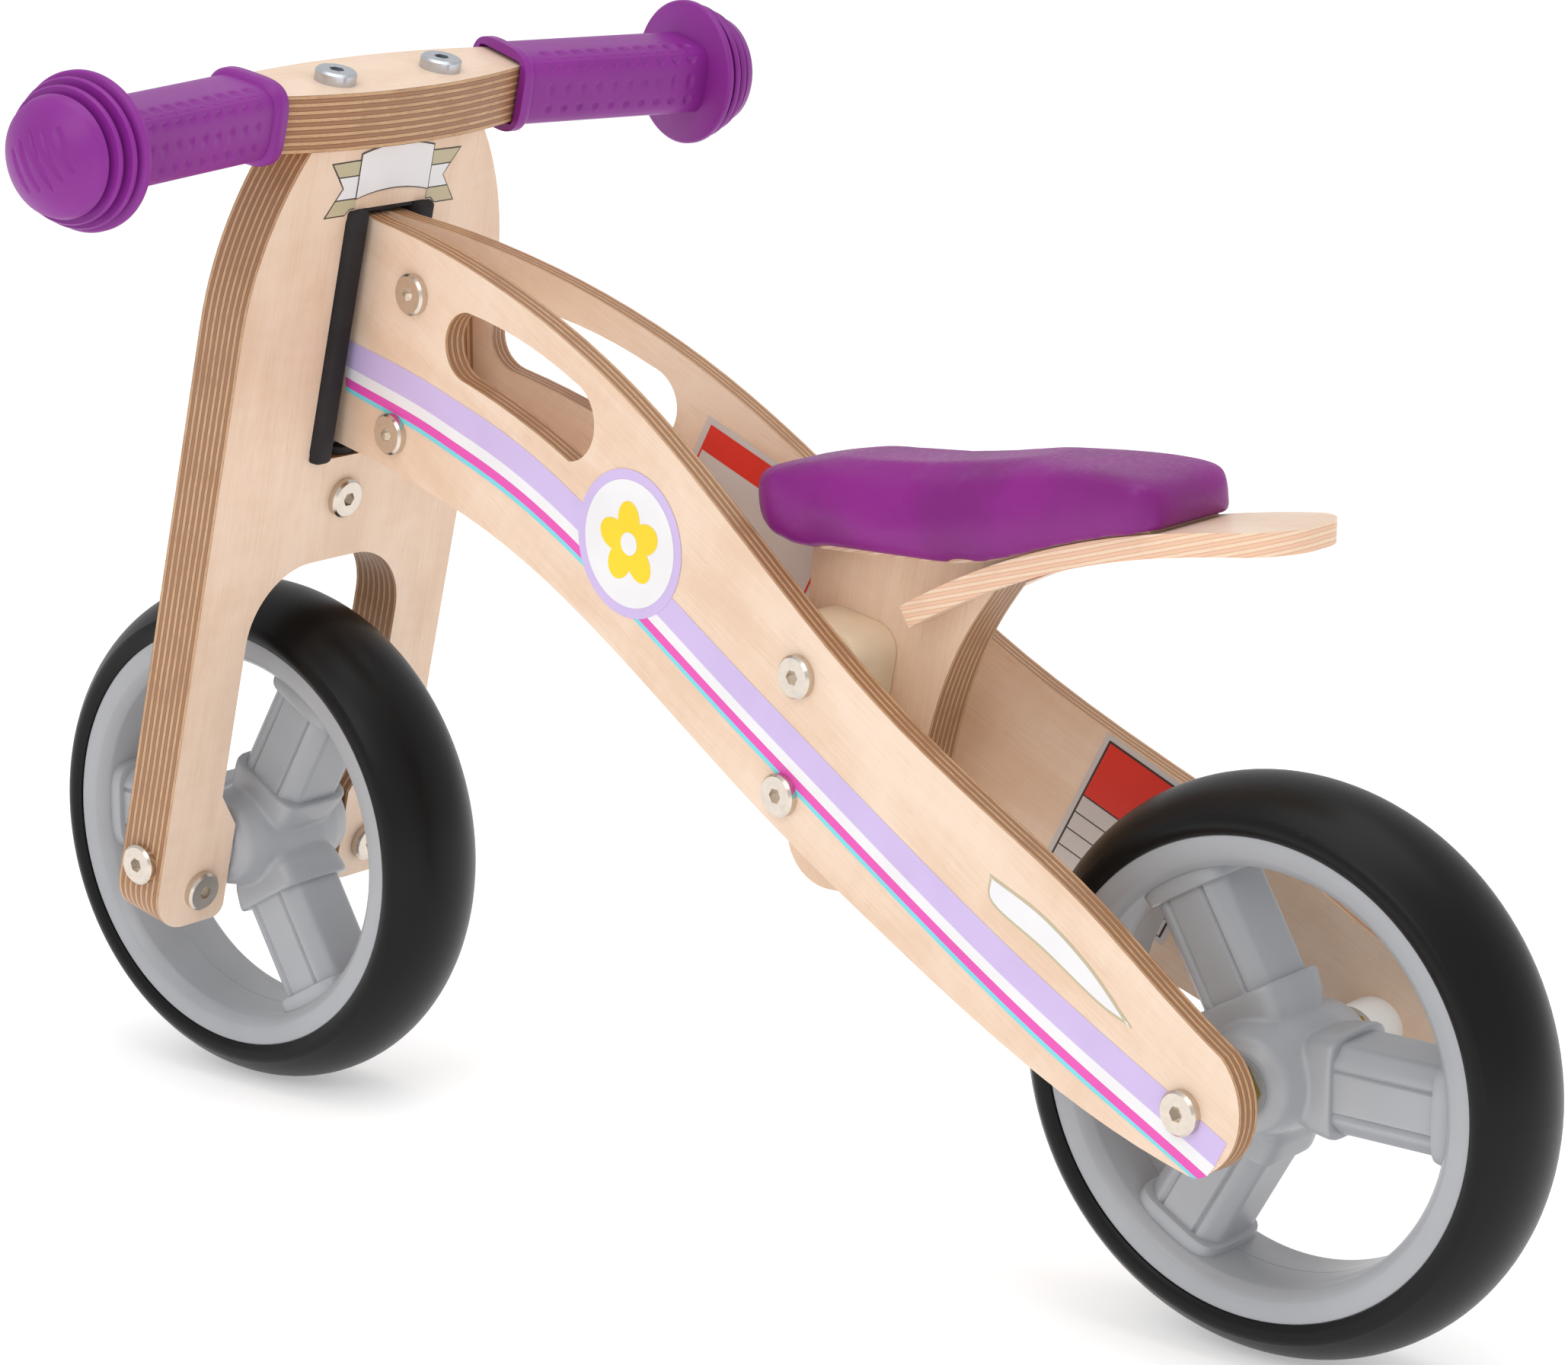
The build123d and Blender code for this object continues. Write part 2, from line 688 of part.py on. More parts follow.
def make_wheel_core():
    """The moulded wheel about Z: rim, barrel hub, three grooved tube spokes with sockets and caps."""
    w = rim_half_width
    bed = w - rim_lip
    near_side = [
        (rim_bed_radius, bed - 1),
        (rim_outer_radius, bed),
        (rim_outer_radius, w),
        (rim_inner_radius, w),
        (rim_well_radius, w - 5),
    ]
    far_side = [(radius, -across) for radius, across in reversed(near_side)]
    rim = ring_section(near_side + far_side)
    near_rim = (hub_end_radius, hub_half_length)
    far_rim = (hub_end_radius, -hub_half_length)
    barrel_edge = [
        Line((0, -hub_half_length), far_rim),
        ThreePointArc(far_rim, (hub_mid_radius, 0), near_rim),
        Line(near_rim, (0, hub_half_length)),
        Line((0, hub_half_length), (0, -hub_half_length)),
    ]
    core = rim + revolve(Plane.XZ * make_face(barrel_edge), Axis.Z)
    octagon = RegularPolygon(spoke_across / 2, 8, major_radius=False, rotation=22.5)
    spoke = extrude(octagon, rim_well_radius + 2)
    groove_length = rim_well_radius - socket_reach - cap_length
    groove = Box(spoke_groove, 3 * spoke_groove, groove_length, align=UPWARD)
    half_flat = spoke_across / 2 * tan(radians(22.5))
    for across in (-half_flat, half_flat):
        for face in (-spoke_across / 2, spoke_across / 2):
            spoke -= Pos(across, face, socket_reach) * groove
    socket = Box(socket_across, socket_across, socket_reach, align=UPWARD)
    socket = chamfer(socket.edges().filter_by(Axis.Z), 6.0)
    cap = extrude(RectangleRounded(cap_across, cap_across, 8.0), cap_length)
    arm = spoke + socket + Pos(0, 0, rim_well_radius + 1.5 - cap_length) * cap
    for number in range(spoke_count):
        core += Rotation(0, 0, number * 360 / spoke_count) * Rotation(0, 90, 0) * arm
    core -= Cylinder(bush_outer_radius, 4 * hub_half_length)
    return core


def make_tyre():
    """The foam tyre about Z: a round tread that ends in a shoulder over each bulging side wall."""
    bed = rim_half_width - rim_lip
    top = wheel_diameter / 2
    shoulder = shoulder_half_width
    shoulder_radius = top - tread_radius + (tread_radius**2 - shoulder**2) ** 0.5
    wall = (rim_outer_radius + shoulder_radius) / 2
    foot = rim_half_width + 0.6
    outline = [
        Line((rim_bed_radius, -bed + 1), (rim_bed_radius, bed - 1)),
        Line((rim_bed_radius, bed - 1), (rim_outer_radius, bed)),
        Line((rim_outer_radius, bed), (rim_outer_radius, foot)),
        ThreePointArc((rim_outer_radius, foot), (wall, tyre_half_width), (shoulder_radius, shoulder)),
        ThreePointArc((shoulder_radius, shoulder), (top, 0), (shoulder_radius, -shoulder)),
        ThreePointArc((shoulder_radius, -shoulder), (wall, -tyre_half_width), (rim_outer_radius, -foot)),
        Line((rim_outer_radius, -foot), (rim_outer_radius, -bed)),
        Line((rim_outer_radius, -bed), (rim_bed_radius, -bed + 1)),
    ]
    return revolve(Plane.XZ * make_face(outline), Axis.Z)


def make_bush():
    """One flanged bush for the hub's end, its flange outward, about Z."""
    bush = Cylinder(bush_outer_radius, bush_length, align=UPWARD)
    bush = Pos(0, 0, hub_half_length - bush_length) * bush
    bush += Pos(0, 0, hub_half_length) * Cylinder(bush_flange_radius, bush_flange, align=UPWARD)
    return bush - Cylinder(axle_radius + running_gap, 4 * hub_half_length)


wheel_core = make_wheel_core()
upper_space = Box(300, 300, 100, align=UPWARD)
core_half = wheel_core & upper_space
tyre = make_tyre()
bush = make_bush()
for name, place_x, angle in (("front", front_x, front_spoke_angle), ("rear", rear_x, rear_spoke_angle)):
    # Wheel axis Z turns to +Y, and the first spoke starts at the given angle up from +X.
    stand = Location((place_x, 0, axle_height)) * Rotation(0, -angle, 0) * Rotation(-90, 0, 0)
    left_half = stand * core_half
    save(left_half, f"{name}_wheel_left_half")
    save(flip(left_half), f"{name}_wheel_right_half")
    save(stand * tyre, f"{name}_tyre")
    left_bush = stand * bush
    save(Compound(children=[left_bush, flip(left_bush)]), f"{name}_wheel_bushes")


# ------------------------------------------------------------------ seat


def heading(lean):
    """The direction forward and down by the given angle, in the side view."""
    return Vector(cos(radians(lean)), -sin(radians(lean)))


def square_up(lean):
    """The direction square to that heading, upward."""
    return Vector(sin(radians(lean)), cos(radians(lean)))


plate_bend = Vector(rear_x + bend_start, bend_height)
tail_turn = (plate_lean - tail_lean) / 2
tail_chord = tail_run / cos(radians(plate_lean - tail_turn))
tail_radius = tail_chord / (2 * sin(radians(tail_turn)))
tail_centre = plate_bend - square_up(plate_lean) * tail_radius
plate_chord = Vector(nose_run, -nose_fall)
plate_radius = plate_chord.length**2 / (-2 * plate_chord.dot(square_up(plate_lean)))
plate_turn = 2 * degrees(asin(plate_chord.length / (2 * plate_radius)))
plate_centre = plate_bend - square_up(plate_lean) * plate_radius


def plate_at(turn, rise):
    """A point of the plate's bend, after a turn in degrees, a rise above its lower face."""
    return plate_centre + square_up(plate_lean + turn) * (plate_radius + rise)


def tail_at(lean, rise):
    """A point of the plate's tail, where it leans by the given angle, a rise above its lower face."""
    return tail_centre + square_up(lean) * (tail_radius + rise)


def seat_point(x, z):
    """A point of the seat's side view, x ahead of the rear axle."""
    return Vector(rear_x + x, z)


def flat(edges):
    """A face in the side view, turned up onto the bike's middle plane."""
    return Plane.XZ * make_face(edges)


def make_plate():
    """The bent plywood seat plate: round tail, slotted nose that straddles the post."""
    up = square_up(plate_lean) * plate_thickness
    half_way = plate_lean - tail_turn
    tail = tail_at(tail_lean, 0)
    tail_top = tail_at(tail_lean, plate_thickness)
    outline = [
        ThreePointArc(tail, tail_at(half_way, 0), plate_bend),
        ThreePointArc(plate_bend, plate_at(plate_turn / 2, 0), plate_at(plate_turn, 0)),
        Line(plate_at(plate_turn, 0), plate_at(plate_turn, plate_thickness)),
        ThreePointArc(
            plate_at(plate_turn, plate_thickness), plate_at(plate_turn / 2, plate_thickness), plate_bend + up
        ),
        ThreePointArc(plate_bend + up, tail_at(half_way, plate_thickness), tail_top),
        Line(tail_top, tail),
    ]
    body = extrude(flat(outline), plate_half_width, both=True)
    centre = tail.X + plate_half_width
    rounded = RectangleRounded(2 * plate_half_width, 2 * plate_half_width + 1, tail_corner)
    keep = Pos(centre, 0, 0) * extrude(rounded, 1000)
    ahead = (Align.MIN, Align.CENTER, Align.CENTER)
    keep += Pos(centre, 0, 0) * Box(400, 3 * plate_half_width, 2000, align=ahead)
    slot_width = post_thickness + 2 * running_gap
    slot = Pos(rear_x + plate_slot_x, 0, 0) * Box(400, slot_width, 2000, align=ahead)
    return body & keep - slot


def base_path(rise, rear_extra=0.0, front_extra=0.0):
    """The seat base's side-view line, a rise above its lower face: bent to the plate, then nearly level."""
    first = plate_at(base_turn_start, plate_thickness + rise)
    knee = plate_at(base_turn_end, plate_thickness + rise)
    knee_lean = plate_lean + base_turn_end
    centre = plate_at(base_turn_end, plate_thickness) + square_up(knee_lean) * base_bend_radius
    reach = base_bend_radius - rise
    middle = centre - square_up((knee_lean + seat_level) / 2) * reach
    level = centre - square_up(seat_level) * reach
    front = level + heading(seat_level) * (base_flat + front_extra)
    edges = [
        ThreePointArc(first, plate_at((base_turn_start + base_turn_end) / 2, plate_thickness + rise), knee),
        ThreePointArc(knee, middle, level),
        Line(level, front),
    ]
    if rear_extra:
        edges.insert(0, Line(first - heading(plate_lean) * rear_extra, first))
    return edges


seat_plate = make_plate()
lower_path = base_path(0.0)
upper_path = base_path(base_thickness)
base_section = [
    *lower_path,
    Line(lower_path[-1] @ 1, upper_path[-1] @ 1),
    *upper_path,
    Line(upper_path[0] @ 0, lower_path[0] @ 0),
]
seat_base = extrude(flat(base_section), base_half_width, both=True)


def make_post():
    """The plywood seat post: hollowed rear edge, rounded foot and a long slot for the clamp bolts."""
    rear = Spline(
        seat_point(97.0, 276.0),
        seat_point(113.4, 250.5),
        seat_point(126.7, 232.2),
        seat_point(135.7, 215.2),
        seat_point(143.2, 194.3),
        seat_point(152.0, 160.0),
        seat_point(157.5, 142.0),
    )
    foot = ThreePointArc(rear @ 1, seat_point(161.5, 132.8), seat_point(171.0, post_foot))
    sole = Line(foot @ 1, seat_point(188.3, post_foot))
    toe = ThreePointArc(sole @ 1, seat_point(201.0, 134.5), seat_point(206.2, 147.0))
    front = Line(toe @ 1, seat_point(189.0, post_top))
    cap = Line(front @ 1, seat_point(97.0, post_top))
    back = Line(cap @ 1, rear @ 0)
    body = extrude(flat([rear, foot, sole, toe, front, cap, back]), half_post, both=True)
    first = lower_path[0] @ 0
    last = base_path(0.0, front_extra=roof_extra)[-1] @ 1
    roof = [
        *base_path(0.0, front_extra=roof_extra),
        Line(last, (last.X, 400)),
        Line((last.X, 400), (first.X, 400)),
        Line((first.X, 400), first),
    ]
    body -= extrude(flat(roof), half_post + 1, both=True)
    slot_length = clamp_pitch + post_travel + 2 * (sleeve_radius + slot_side)
    slot = extrude(SlotOverall(slot_length, 2 * (sleeve_radius + slot_side)), post_thickness, both=True)
    slot = slide_frame.location * Pos(0, -post_travel / 2, 0) * Rotation(0, 0, 90) * slot
    return max((body - slot).solids(), key=lambda solid: solid.volume)


save(make_post(), "seat_post")


def make_cushion():
    """The padded cushion, closed over the base's top and sides."""
    under = base_path(base_lift, rear_extra=cushion_lap, front_extra=1.0)
    rear_low = under[0] @ 0
    front_low = under[-1] @ 1
    nose_tip = seat_point(cushion_front, 268.0)
    lift = ThreePointArc(front_low, seat_point(cushion_front - 11.0, 259.0), nose_tip)
    nose_top = seat_point(cushion_front - 11.0, 279.5)
    nose = ThreePointArc(nose_tip, seat_point(cushion_front - 3.0, 275.5), nose_top)
    heel_top = seat_point(cushion_rear + 11.0, 295.5)
    crown = Spline(
        nose @ 1,
        seat_point(185.0, 282.5),
        seat_point(153.0, 284.5),
        seat_point(130.0, 287.0),
        seat_point(87.0, 294.0),
        seat_point(65.0, 296.0),
        heel_top,
    )
    heel = ThreePointArc(heel_top, seat_point(cushion_rear + 1.5, 290.5), rear_low)
    body = extrude(flat([*under, lift, nose, crown, heel]), cushion_half_width, both=True)
    middle = rear_x + (cushion_front + cushion_rear) / 2
    length = cushion_front - cushion_rear
    for corner, shift in ((nose_corner, -1), (heel_corner, 1)):
        plan = RectangleRounded(2 * length, 2 * cushion_half_width + 2, corner + 1)
        body &= Pos(middle + shift * length / 2, 0, 0) * extrude(plan, 1000)
    return body - seat_base - seat_plate


save(make_cushion(), "seat_cushion")


# ------------------------------------------------------------------ seat screws
screws = []
shank = Cylinder(screw_radius, plate_thickness + screw_bite, align=UPWARD)
cone = Cone(screw_head_radius, screw_radius, screw_head_depth, align=UPWARD)
for turn in (2.5, 6.5):
    for side in (-1, 1):
        spot = plate_at(turn, 0)
        stand = Location((spot.X, side * screw_y, spot.Y)) * Rotation(0, plate_lean + turn, 0)
        screw = stand * (shank + cone)
        seat_plate -= screw
        seat_base -= screw
        screws.append(screw)
save(Compound(children=screws), "seat_screws")
save(seat_plate, "seat_plate")
save(seat_base, "seat_base")
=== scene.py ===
import json
import math

import bmesh
import bpy
import mathutils.bvhtree
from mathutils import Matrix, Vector
from mathutils.geometry import tessellate_polygon


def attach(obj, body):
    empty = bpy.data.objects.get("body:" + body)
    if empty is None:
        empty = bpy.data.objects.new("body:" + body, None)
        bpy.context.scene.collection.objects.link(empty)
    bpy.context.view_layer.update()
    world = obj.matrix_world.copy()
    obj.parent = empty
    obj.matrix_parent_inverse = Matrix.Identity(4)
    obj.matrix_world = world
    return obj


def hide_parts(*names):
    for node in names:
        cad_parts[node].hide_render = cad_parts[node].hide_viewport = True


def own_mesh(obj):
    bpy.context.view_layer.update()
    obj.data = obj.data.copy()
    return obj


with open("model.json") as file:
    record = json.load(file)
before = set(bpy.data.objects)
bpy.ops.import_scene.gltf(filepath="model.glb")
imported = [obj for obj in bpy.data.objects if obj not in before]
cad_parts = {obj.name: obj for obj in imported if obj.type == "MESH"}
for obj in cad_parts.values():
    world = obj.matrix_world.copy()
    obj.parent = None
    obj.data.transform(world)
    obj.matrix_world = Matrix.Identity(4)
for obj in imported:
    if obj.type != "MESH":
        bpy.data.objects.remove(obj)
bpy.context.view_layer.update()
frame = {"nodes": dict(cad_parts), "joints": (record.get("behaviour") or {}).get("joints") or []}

scene = bpy.context.scene
nodes = frame["nodes"]

# ------------------------------------------------------------------ the frame's own directions
joints = {joint["name"]: joint for joint in frame["joints"]}
steering_axis = joints["steering_turn"]["axis"]
RAKE = math.atan2(-steering_axis[0], steering_axis[2])
SPLAY = math.radians(7.2)
FRONT_X = joints["front_wheel_spin"]["pos_m"][0]
AXLE_Z = joints["front_wheel_spin"]["pos_m"][2]
REAR_X = joints["rear_wheel_spin"]["pos_m"][0]
UP_FORK = Vector((-math.sin(RAKE), 0, math.cos(RAKE)))
FRONT_FORK = Vector((math.cos(RAKE), 0, math.sin(RAKE)))
LEFT = Vector((0, 1, 0))
BOARD_IN = Vector((-math.sin(SPLAY), -math.cos(SPLAY), 0))
BOARD_REAR_Y = 0.062
BOARD_THICKNESS = 0.009
FORK_THICKNESS = 0.022
BAR_THICKNESS = 0.022
POST_THICKNESS = 0.019
WEDGE_THICKNESS = 0.018
PLATE_THICKNESS = 0.008
BAR_MIDDLE = 0.2985
FILM_LIFTS = (0.00010, 0.00018, 0.00026, 0.00034, 0.00042)


def mirrored(vector):
    """The same direction or point on the bike's right."""
    return Vector((vector[0], -vector[1], vector[2]))


def fork_point(across, up, forward):
    """A point in the fork's frame, in metres, as a row point."""
    return Vector((FRONT_X, 0, AXLE_Z)) + LEFT * across + UP_FORK * up + FRONT_FORK * forward


def board_point(x, z, lift, side=1):
    """A point x ahead of the rear axle and z up, lifted off the side board's outer face."""
    point = Vector((REAR_X + x, BOARD_REAR_Y - math.tan(SPLAY) * x, z)) - BOARD_IN * lift
    return point if side > 0 else mirrored(point)


# ------------------------------------------------------------------ shader helpers
class Shader:
    """A material with its nodes, and short ways to add to them."""

    def __init__(self, name):
        self.material = bpy.data.materials.new(name)
        self.material.use_nodes = True
        self.tree = self.material.node_tree
        self.tree.nodes.clear()
        self.output = self.add("ShaderNodeOutputMaterial")
        self.surface = self.add("ShaderNodeBsdfPrincipled")
        self.link(self.surface.outputs[0], self.output.inputs[0])
        self.place = self.add("ShaderNodeTexCoord")

    def add(self, kind, **values):
        made = self.tree.nodes.new(kind)
        for key, value in values.items():
            setattr(made, key, value)
        return made

    def link(self, a, b):
        self.tree.links.new(a, b)

    def feed(self, socket, value):
        """Sets a socket, or links an output to it."""
        if isinstance(value, bpy.types.NodeSocket):
            self.link(value, socket)
        elif isinstance(value, (tuple, list, Vector)) and socket.type == "RGBA":
            socket.default_value = (*value[:3], 1.0)
        else:
            socket.default_value = value

    def set(self, **values):
        """Sets the surface's own sockets by name, with _ for a space."""
        for key, value in values.items():
            self.feed(self.surface.inputs[key.replace("_", " ")], value)

    def math(self, operation, a, b=0.0, c=0.0, clamp=False):
        made = self.add("ShaderNodeMath", operation=operation, use_clamp=clamp)
        for socket, value in zip(made.inputs, (a, b, c)):
            self.feed(socket, value)
        return made.outputs[0]

    def dot(self, vector, direction):
        made = self.add("ShaderNodeVectorMath", operation="DOT_PRODUCT")
        self.feed(made.inputs[0], vector)
        made.inputs[1].default_value = tuple(direction)
        return made.outputs["Value"]

    def shift(self, vector, offset):
        made = self.add("ShaderNodeVectorMath", operation="SUBTRACT")
        self.feed(made.inputs[0], vector)
        made.inputs[1].default_value = tuple(offset)
        return made.outputs[0]

    def join(self, x, y, z):
        made = self.add("ShaderNodeCombineXYZ")
        for socket, value in zip(made.inputs, (x, y, z)):
            self.feed(socket, value)
        return made.outputs[0]

    def noise(self, vector, scale, detail=3.0, rough=0.5, distortion=0.0):
        made = self.add("ShaderNodeTexNoise")
        self.feed(made.inputs["Vector"], vector)
        made.inputs["Scale"].default_value = scale
        made.inputs["Detail"].default_value = detail
        made.inputs["Roughness"].default_value = rough
        made.inputs["Distortion"].default_value = distortion
        return made.outputs["Fac"]

    def remap(self, value, low, high, to_low=0.0, to_high=1.0, smooth=True):
        made = self.add("ShaderNodeMapRange", interpolation_type="SMOOTHSTEP" if smooth else "LINEAR")
        self.feed(made.inputs["Value"], value)
        made.inputs["From Min"].default_value = low
        made.inputs["From Max"].default_value = high
        made.inputs["To Min"].default_value = to_low
        made.inputs["To Max"].default_value = to_high
        return made.outputs["Result"]

    def mix(self, factor, a, b, blend="MIX"):
        made = self.add("ShaderNodeMix", data_type="RGBA", blend_type=blend)
        self.feed(made.inputs["Factor"], factor)
        self.feed(made.inputs["A"], a)
        self.feed(made.inputs["B"], b)
        return made.outputs["Result"]

    def bump(self, height, strength, distance):
        made = self.add("ShaderNodeBump")
        self.feed(made.inputs["Height"], height)
        made.inputs["Strength"].default_value = strength
        made.inputs["Distance"].default_value = distance
        self.link(made.outputs[0], self.surface.inputs["Normal"])
        return made


def linear(red, green, blue):
    """An sRGB colour, 0 to 255, as a linear colour."""
    return tuple(((v / 255 + 0.055) / 1.055) ** 2.4 if v > 10 else v / 255 / 12.92
                 for v in (red, green, blue))


# ------------------------------------------------------------------ materials
FACE_LIGHT = linear(238, 213, 191)
FACE_DEEP = linear(224, 192, 164)
FACE_FLECK = linear(176, 122, 80)
EDGE_LIGHT = linear(206, 166, 124)
EDGE_DEEP = linear(158, 112, 78)
EDGE_GLUE = linear(84, 50, 32)


def plywood(name, origin, through, along, thickness, layers, face=(FACE_LIGHT, FACE_DEEP),
            edge=(EDGE_LIGHT, EDGE_DEEP), glue=EDGE_GLUE, stain=0.5):
    """Birch plywood: fine grain on its faces, and plies with glue lines on its edges."""
    s = Shader(name)
    through = Vector(through).normalized()
    along = Vector(along).normalized()
    across = through.cross(along)
    point = s.shift(s.place.outputs["Object"], origin)
    depth = s.dot(point, through)
    run = s.dot(point, along)
    width = s.dot(point, across)
    facing = s.math("ABSOLUTE", s.dot(s.place.outputs["Normal"], through))
    is_face = s.remap(facing, 0.72, 0.93)

    # Faces: broad drifts of tone, long fibres and a few brown flecks.
    drift = s.noise(s.join(s.math("MULTIPLY", run, 0.35), width, depth), 34.0, 3.0, 0.5, 0.6)
    fibre = s.noise(s.join(s.math("MULTIPLY", run, 0.03), width, depth), 1500.0, 3.0, 0.6)
    rippled = s.join(s.math("MULTIPLY", run, 0.9), s.math("MULTIPLY", width, 0.3), depth)
    ripple = s.noise(rippled, 210.0, 2.0, 0.5)
    tone = s.math("ADD", s.math("MULTIPLY", drift, 0.75), s.math("MULTIPLY", fibre, 0.35))
    tone = s.math("ADD", tone, s.math("MULTIPLY", ripple, 0.16))
    veneer = s.mix(s.remap(tone, 0.42, 0.86), face[0], face[1])
    fleck = s.noise(s.join(s.math("MULTIPLY", run, 0.22), width, depth), 90.0, 1.0, 0.4)
    spots = s.remap(fleck, 0.80, 0.86)
    veneer = s.mix(s.math("MULTIPLY", spots, 0.6), veneer, FACE_FLECK)
    pores = s.remap(s.noise(s.join(s.math("MULTIPLY", run, 0.1), width, depth), 900.0, 1.0), 0.66, 0.8)
    veneer = s.mix(s.math("MULTIPLY", pores, 0.16), veneer, FACE_FLECK)

    # Edges: plies that turn their grain by turns, parted by thin dark glue lines.
    ply = s.math("MULTIPLY", s.math("ADD", s.math("DIVIDE", depth, thickness), 0.5), float(layers))
    wobble = s.noise(s.join(run, width, depth), 60.0, 2.0)
    ply = s.math("ADD", ply, s.math("MULTIPLY", s.math("SUBTRACT", wobble, 0.5), 0.22))
    step = s.math("FRACT", ply)
    near_line = s.math("MINIMUM", step, s.math("SUBTRACT", 1.0, step))
    line = s.remap(near_line, 0.03, 0.15, 1.0, 0.0)
    turn = s.math("FRACT", s.math("MULTIPLY", s.math("FLOOR", ply), 0.5))
    turned = s.remap(turn, 0.2, 0.3)
    streak = s.noise(s.join(run, width, s.math("MULTIPLY", depth, 8.0)), 420.0, 3.0, 0.6)
    smoke = s.noise(s.join(run, width, depth), 46.0, 3.0, 0.6)
    wood = s.mix(turned, edge[0], edge[1])
    wood = s.mix(s.remap(streak, 0.35, 0.75, 0.0, 0.55), wood, edge[1])
    wood = s.mix(s.remap(smoke, 0.45, 0.7, 0.0, stain), wood, EDGE_DEEP)
    wood = s.mix(s.math("MULTIPLY", line, 0.75), wood, glue)

    s.set(Base_Color=s.mix(is_face, wood, veneer))
    gloss = s.math("ADD", fibre, s.math("MULTIPLY", is_face, -0.3))
    s.set(Roughness=s.remap(gloss, 0.0, 1.0, 0.36, 0.62, False))
    s.set(Specular_IOR_Level=0.45, Coat_Weight=0.12, Coat_Roughness=0.3)
    grain = s.math("MULTIPLY", fibre, s.remap(is_face, 0.0, 1.0, 0.2, 1.0))
    groove = s.math("MULTIPLY", s.math("SUBTRACT", 1.0, is_face), s.math("MULTIPLY", line, -1.5))
    s.bump(s.math("ADD", grain, groove), 0.25, 0.0002)
    return s.material


def metal(name, colour, roughness, scratch=0.12):
    """Plated steel, with faint wear in its gloss."""
    s = Shader(name)
    point = s.place.outputs["Object"]
    wear = s.noise(point, 380.0, 4.0, 0.6)
    s.set(Base_Color=s.mix(s.remap(wear, 0.3, 0.8, 0.0, 0.35), colour, tuple(v * 0.72 for v in colour)))
    s.set(Metallic=1.0)
    low, high = roughness - scratch / 2, roughness + scratch / 2
    s.set(Roughness=s.remap(wear, 0.2, 0.8, low, high, False))
    s.bump(s.noise(point, 1400.0, 2.0), 0.12, 0.00005)
    return s.material


def moulded(name, colour, roughness, grain=0.1, specular=0.5, mottle=0.06):
    """Moulded plastic or rubber: slightly uneven tone and a fine texture."""
    s = Shader(name)
    point = s.place.outputs["Object"]
    cloud = s.noise(point, 26.0, 3.0)
    lighter = tuple(min(1.0, v * (1 + 2 * mottle)) for v in colour)
    darker = tuple(v * (1 - 2 * mottle) for v in colour)
    s.set(Base_Color=s.mix(s.remap(cloud, 0.3, 0.7), darker, lighter))
    fine = s.noise(point, 1600.0, 2.0, 0.6)
    s.set(Roughness=s.remap(fine, 0.2, 0.8, roughness - 0.05, roughness + 0.05, False))
    s.set(Specular_IOR_Level=specular)
    s.bump(fine, grain, 0.0001)
    return s.material


def ink(name, colour):
    """Printed film on the wood, with a satin coat."""
    s = Shader(name)
    tone = s.noise(s.place.outputs["Object"], 40.0, 2.0)
    s.set(Base_Color=s.mix(s.remap(tone, 0.3, 0.7), colour, tuple(v * 0.95 for v in colour)))
    s.set(Roughness=s.remap(tone, 0.2, 0.8, 0.32, 0.4, False), Specular_IOR_Level=0.4)
    s.bump(s.noise(s.place.outputs["Object"], 900.0, 2.0), 0.05, 0.00005)
    return s.material


def dress(material, *names):
    """Gives one material to CAD nodes."""
    for name in names:
        mesh = nodes[name].data
        mesh.materials.clear()
        mesh.materials.append(material)


fork_middle = Vector((FRONT_X, 0, AXLE_Z))
left_middle = board_point(0, 0, -BOARD_THICKNESS / 2)
BOARD_GRAIN = Vector((0.86, -0.11, 0.5))
dress(plywood("ply_left", left_middle, BOARD_IN, BOARD_GRAIN, BOARD_THICKNESS, 7),
      "left_side_board")
dress(plywood("ply_right", mirrored(left_middle), mirrored(BOARD_IN), mirrored(BOARD_GRAIN),
              BOARD_THICKNESS, 7), "right_side_board")
dress(plywood("ply_fork", fork_middle, FRONT_FORK, UP_FORK, FORK_THICKNESS, 15), "fork_board")
bar_middle = fork_point(0, BAR_MIDDLE, 0)
dress(plywood("ply_bar", bar_middle, UP_FORK, LEFT, BAR_THICKNESS, 15), "handlebar")
dress(plywood("ply_post", (0, 0, 0), LEFT, (-0.19, 0, 0.98), POST_THICKNESS, 13), "seat_post")
dress(plywood("ply_wedge", (0, 0, 0), LEFT, (0, 0, 1), WEDGE_THICKNESS, 9), "head_wedge")
PLATE_LEAN = math.radians(16)
plate_up = Vector((math.sin(PLATE_LEAN), 0, math.cos(PLATE_LEAN)))
PLATE_EDGE = (linear(238, 212, 184), linear(232, 190, 160))
dress(plywood("ply_plate", (-0.2, 0, 0.28), plate_up, (1, 0, -0.28), PLATE_THICKNESS, 6,
              edge=PLATE_EDGE, glue=linear(206, 150, 118), stain=0.1), "seat_plate", "seat_base")

nickel = metal("nickel", linear(214, 204, 192), 0.24)
zinc = metal("zinc", linear(196, 200, 206), 0.3)
steel = metal("steel", linear(150, 150, 152), 0.35)
dress(nickel, "head_bolts", "head_nuts", "seat_clamp_bolts", "seat_clamp_nuts", "rear_axle_bolts",
      "pin_lock_bolt", "leg_bolts", "leg_nuts", "front_axle_bolts")
dress(zinc, "handlebar_bolts", "handlebar_barrel_nuts")
dress(metal("yellow_zinc", linear(206, 178, 96), 0.32), "rear_axle_nuts")
dress(steel, "steering_tube", "steering_pin", "front_axle", "rear_axle", "seat_screws")
dress(moulded("cream_plastic", linear(236, 216, 186), 0.42), "seat_spacer_left", "seat_spacer_right")
dress(moulded("white_plastic", linear(226, 224, 220), 0.4), "rear_spacers")
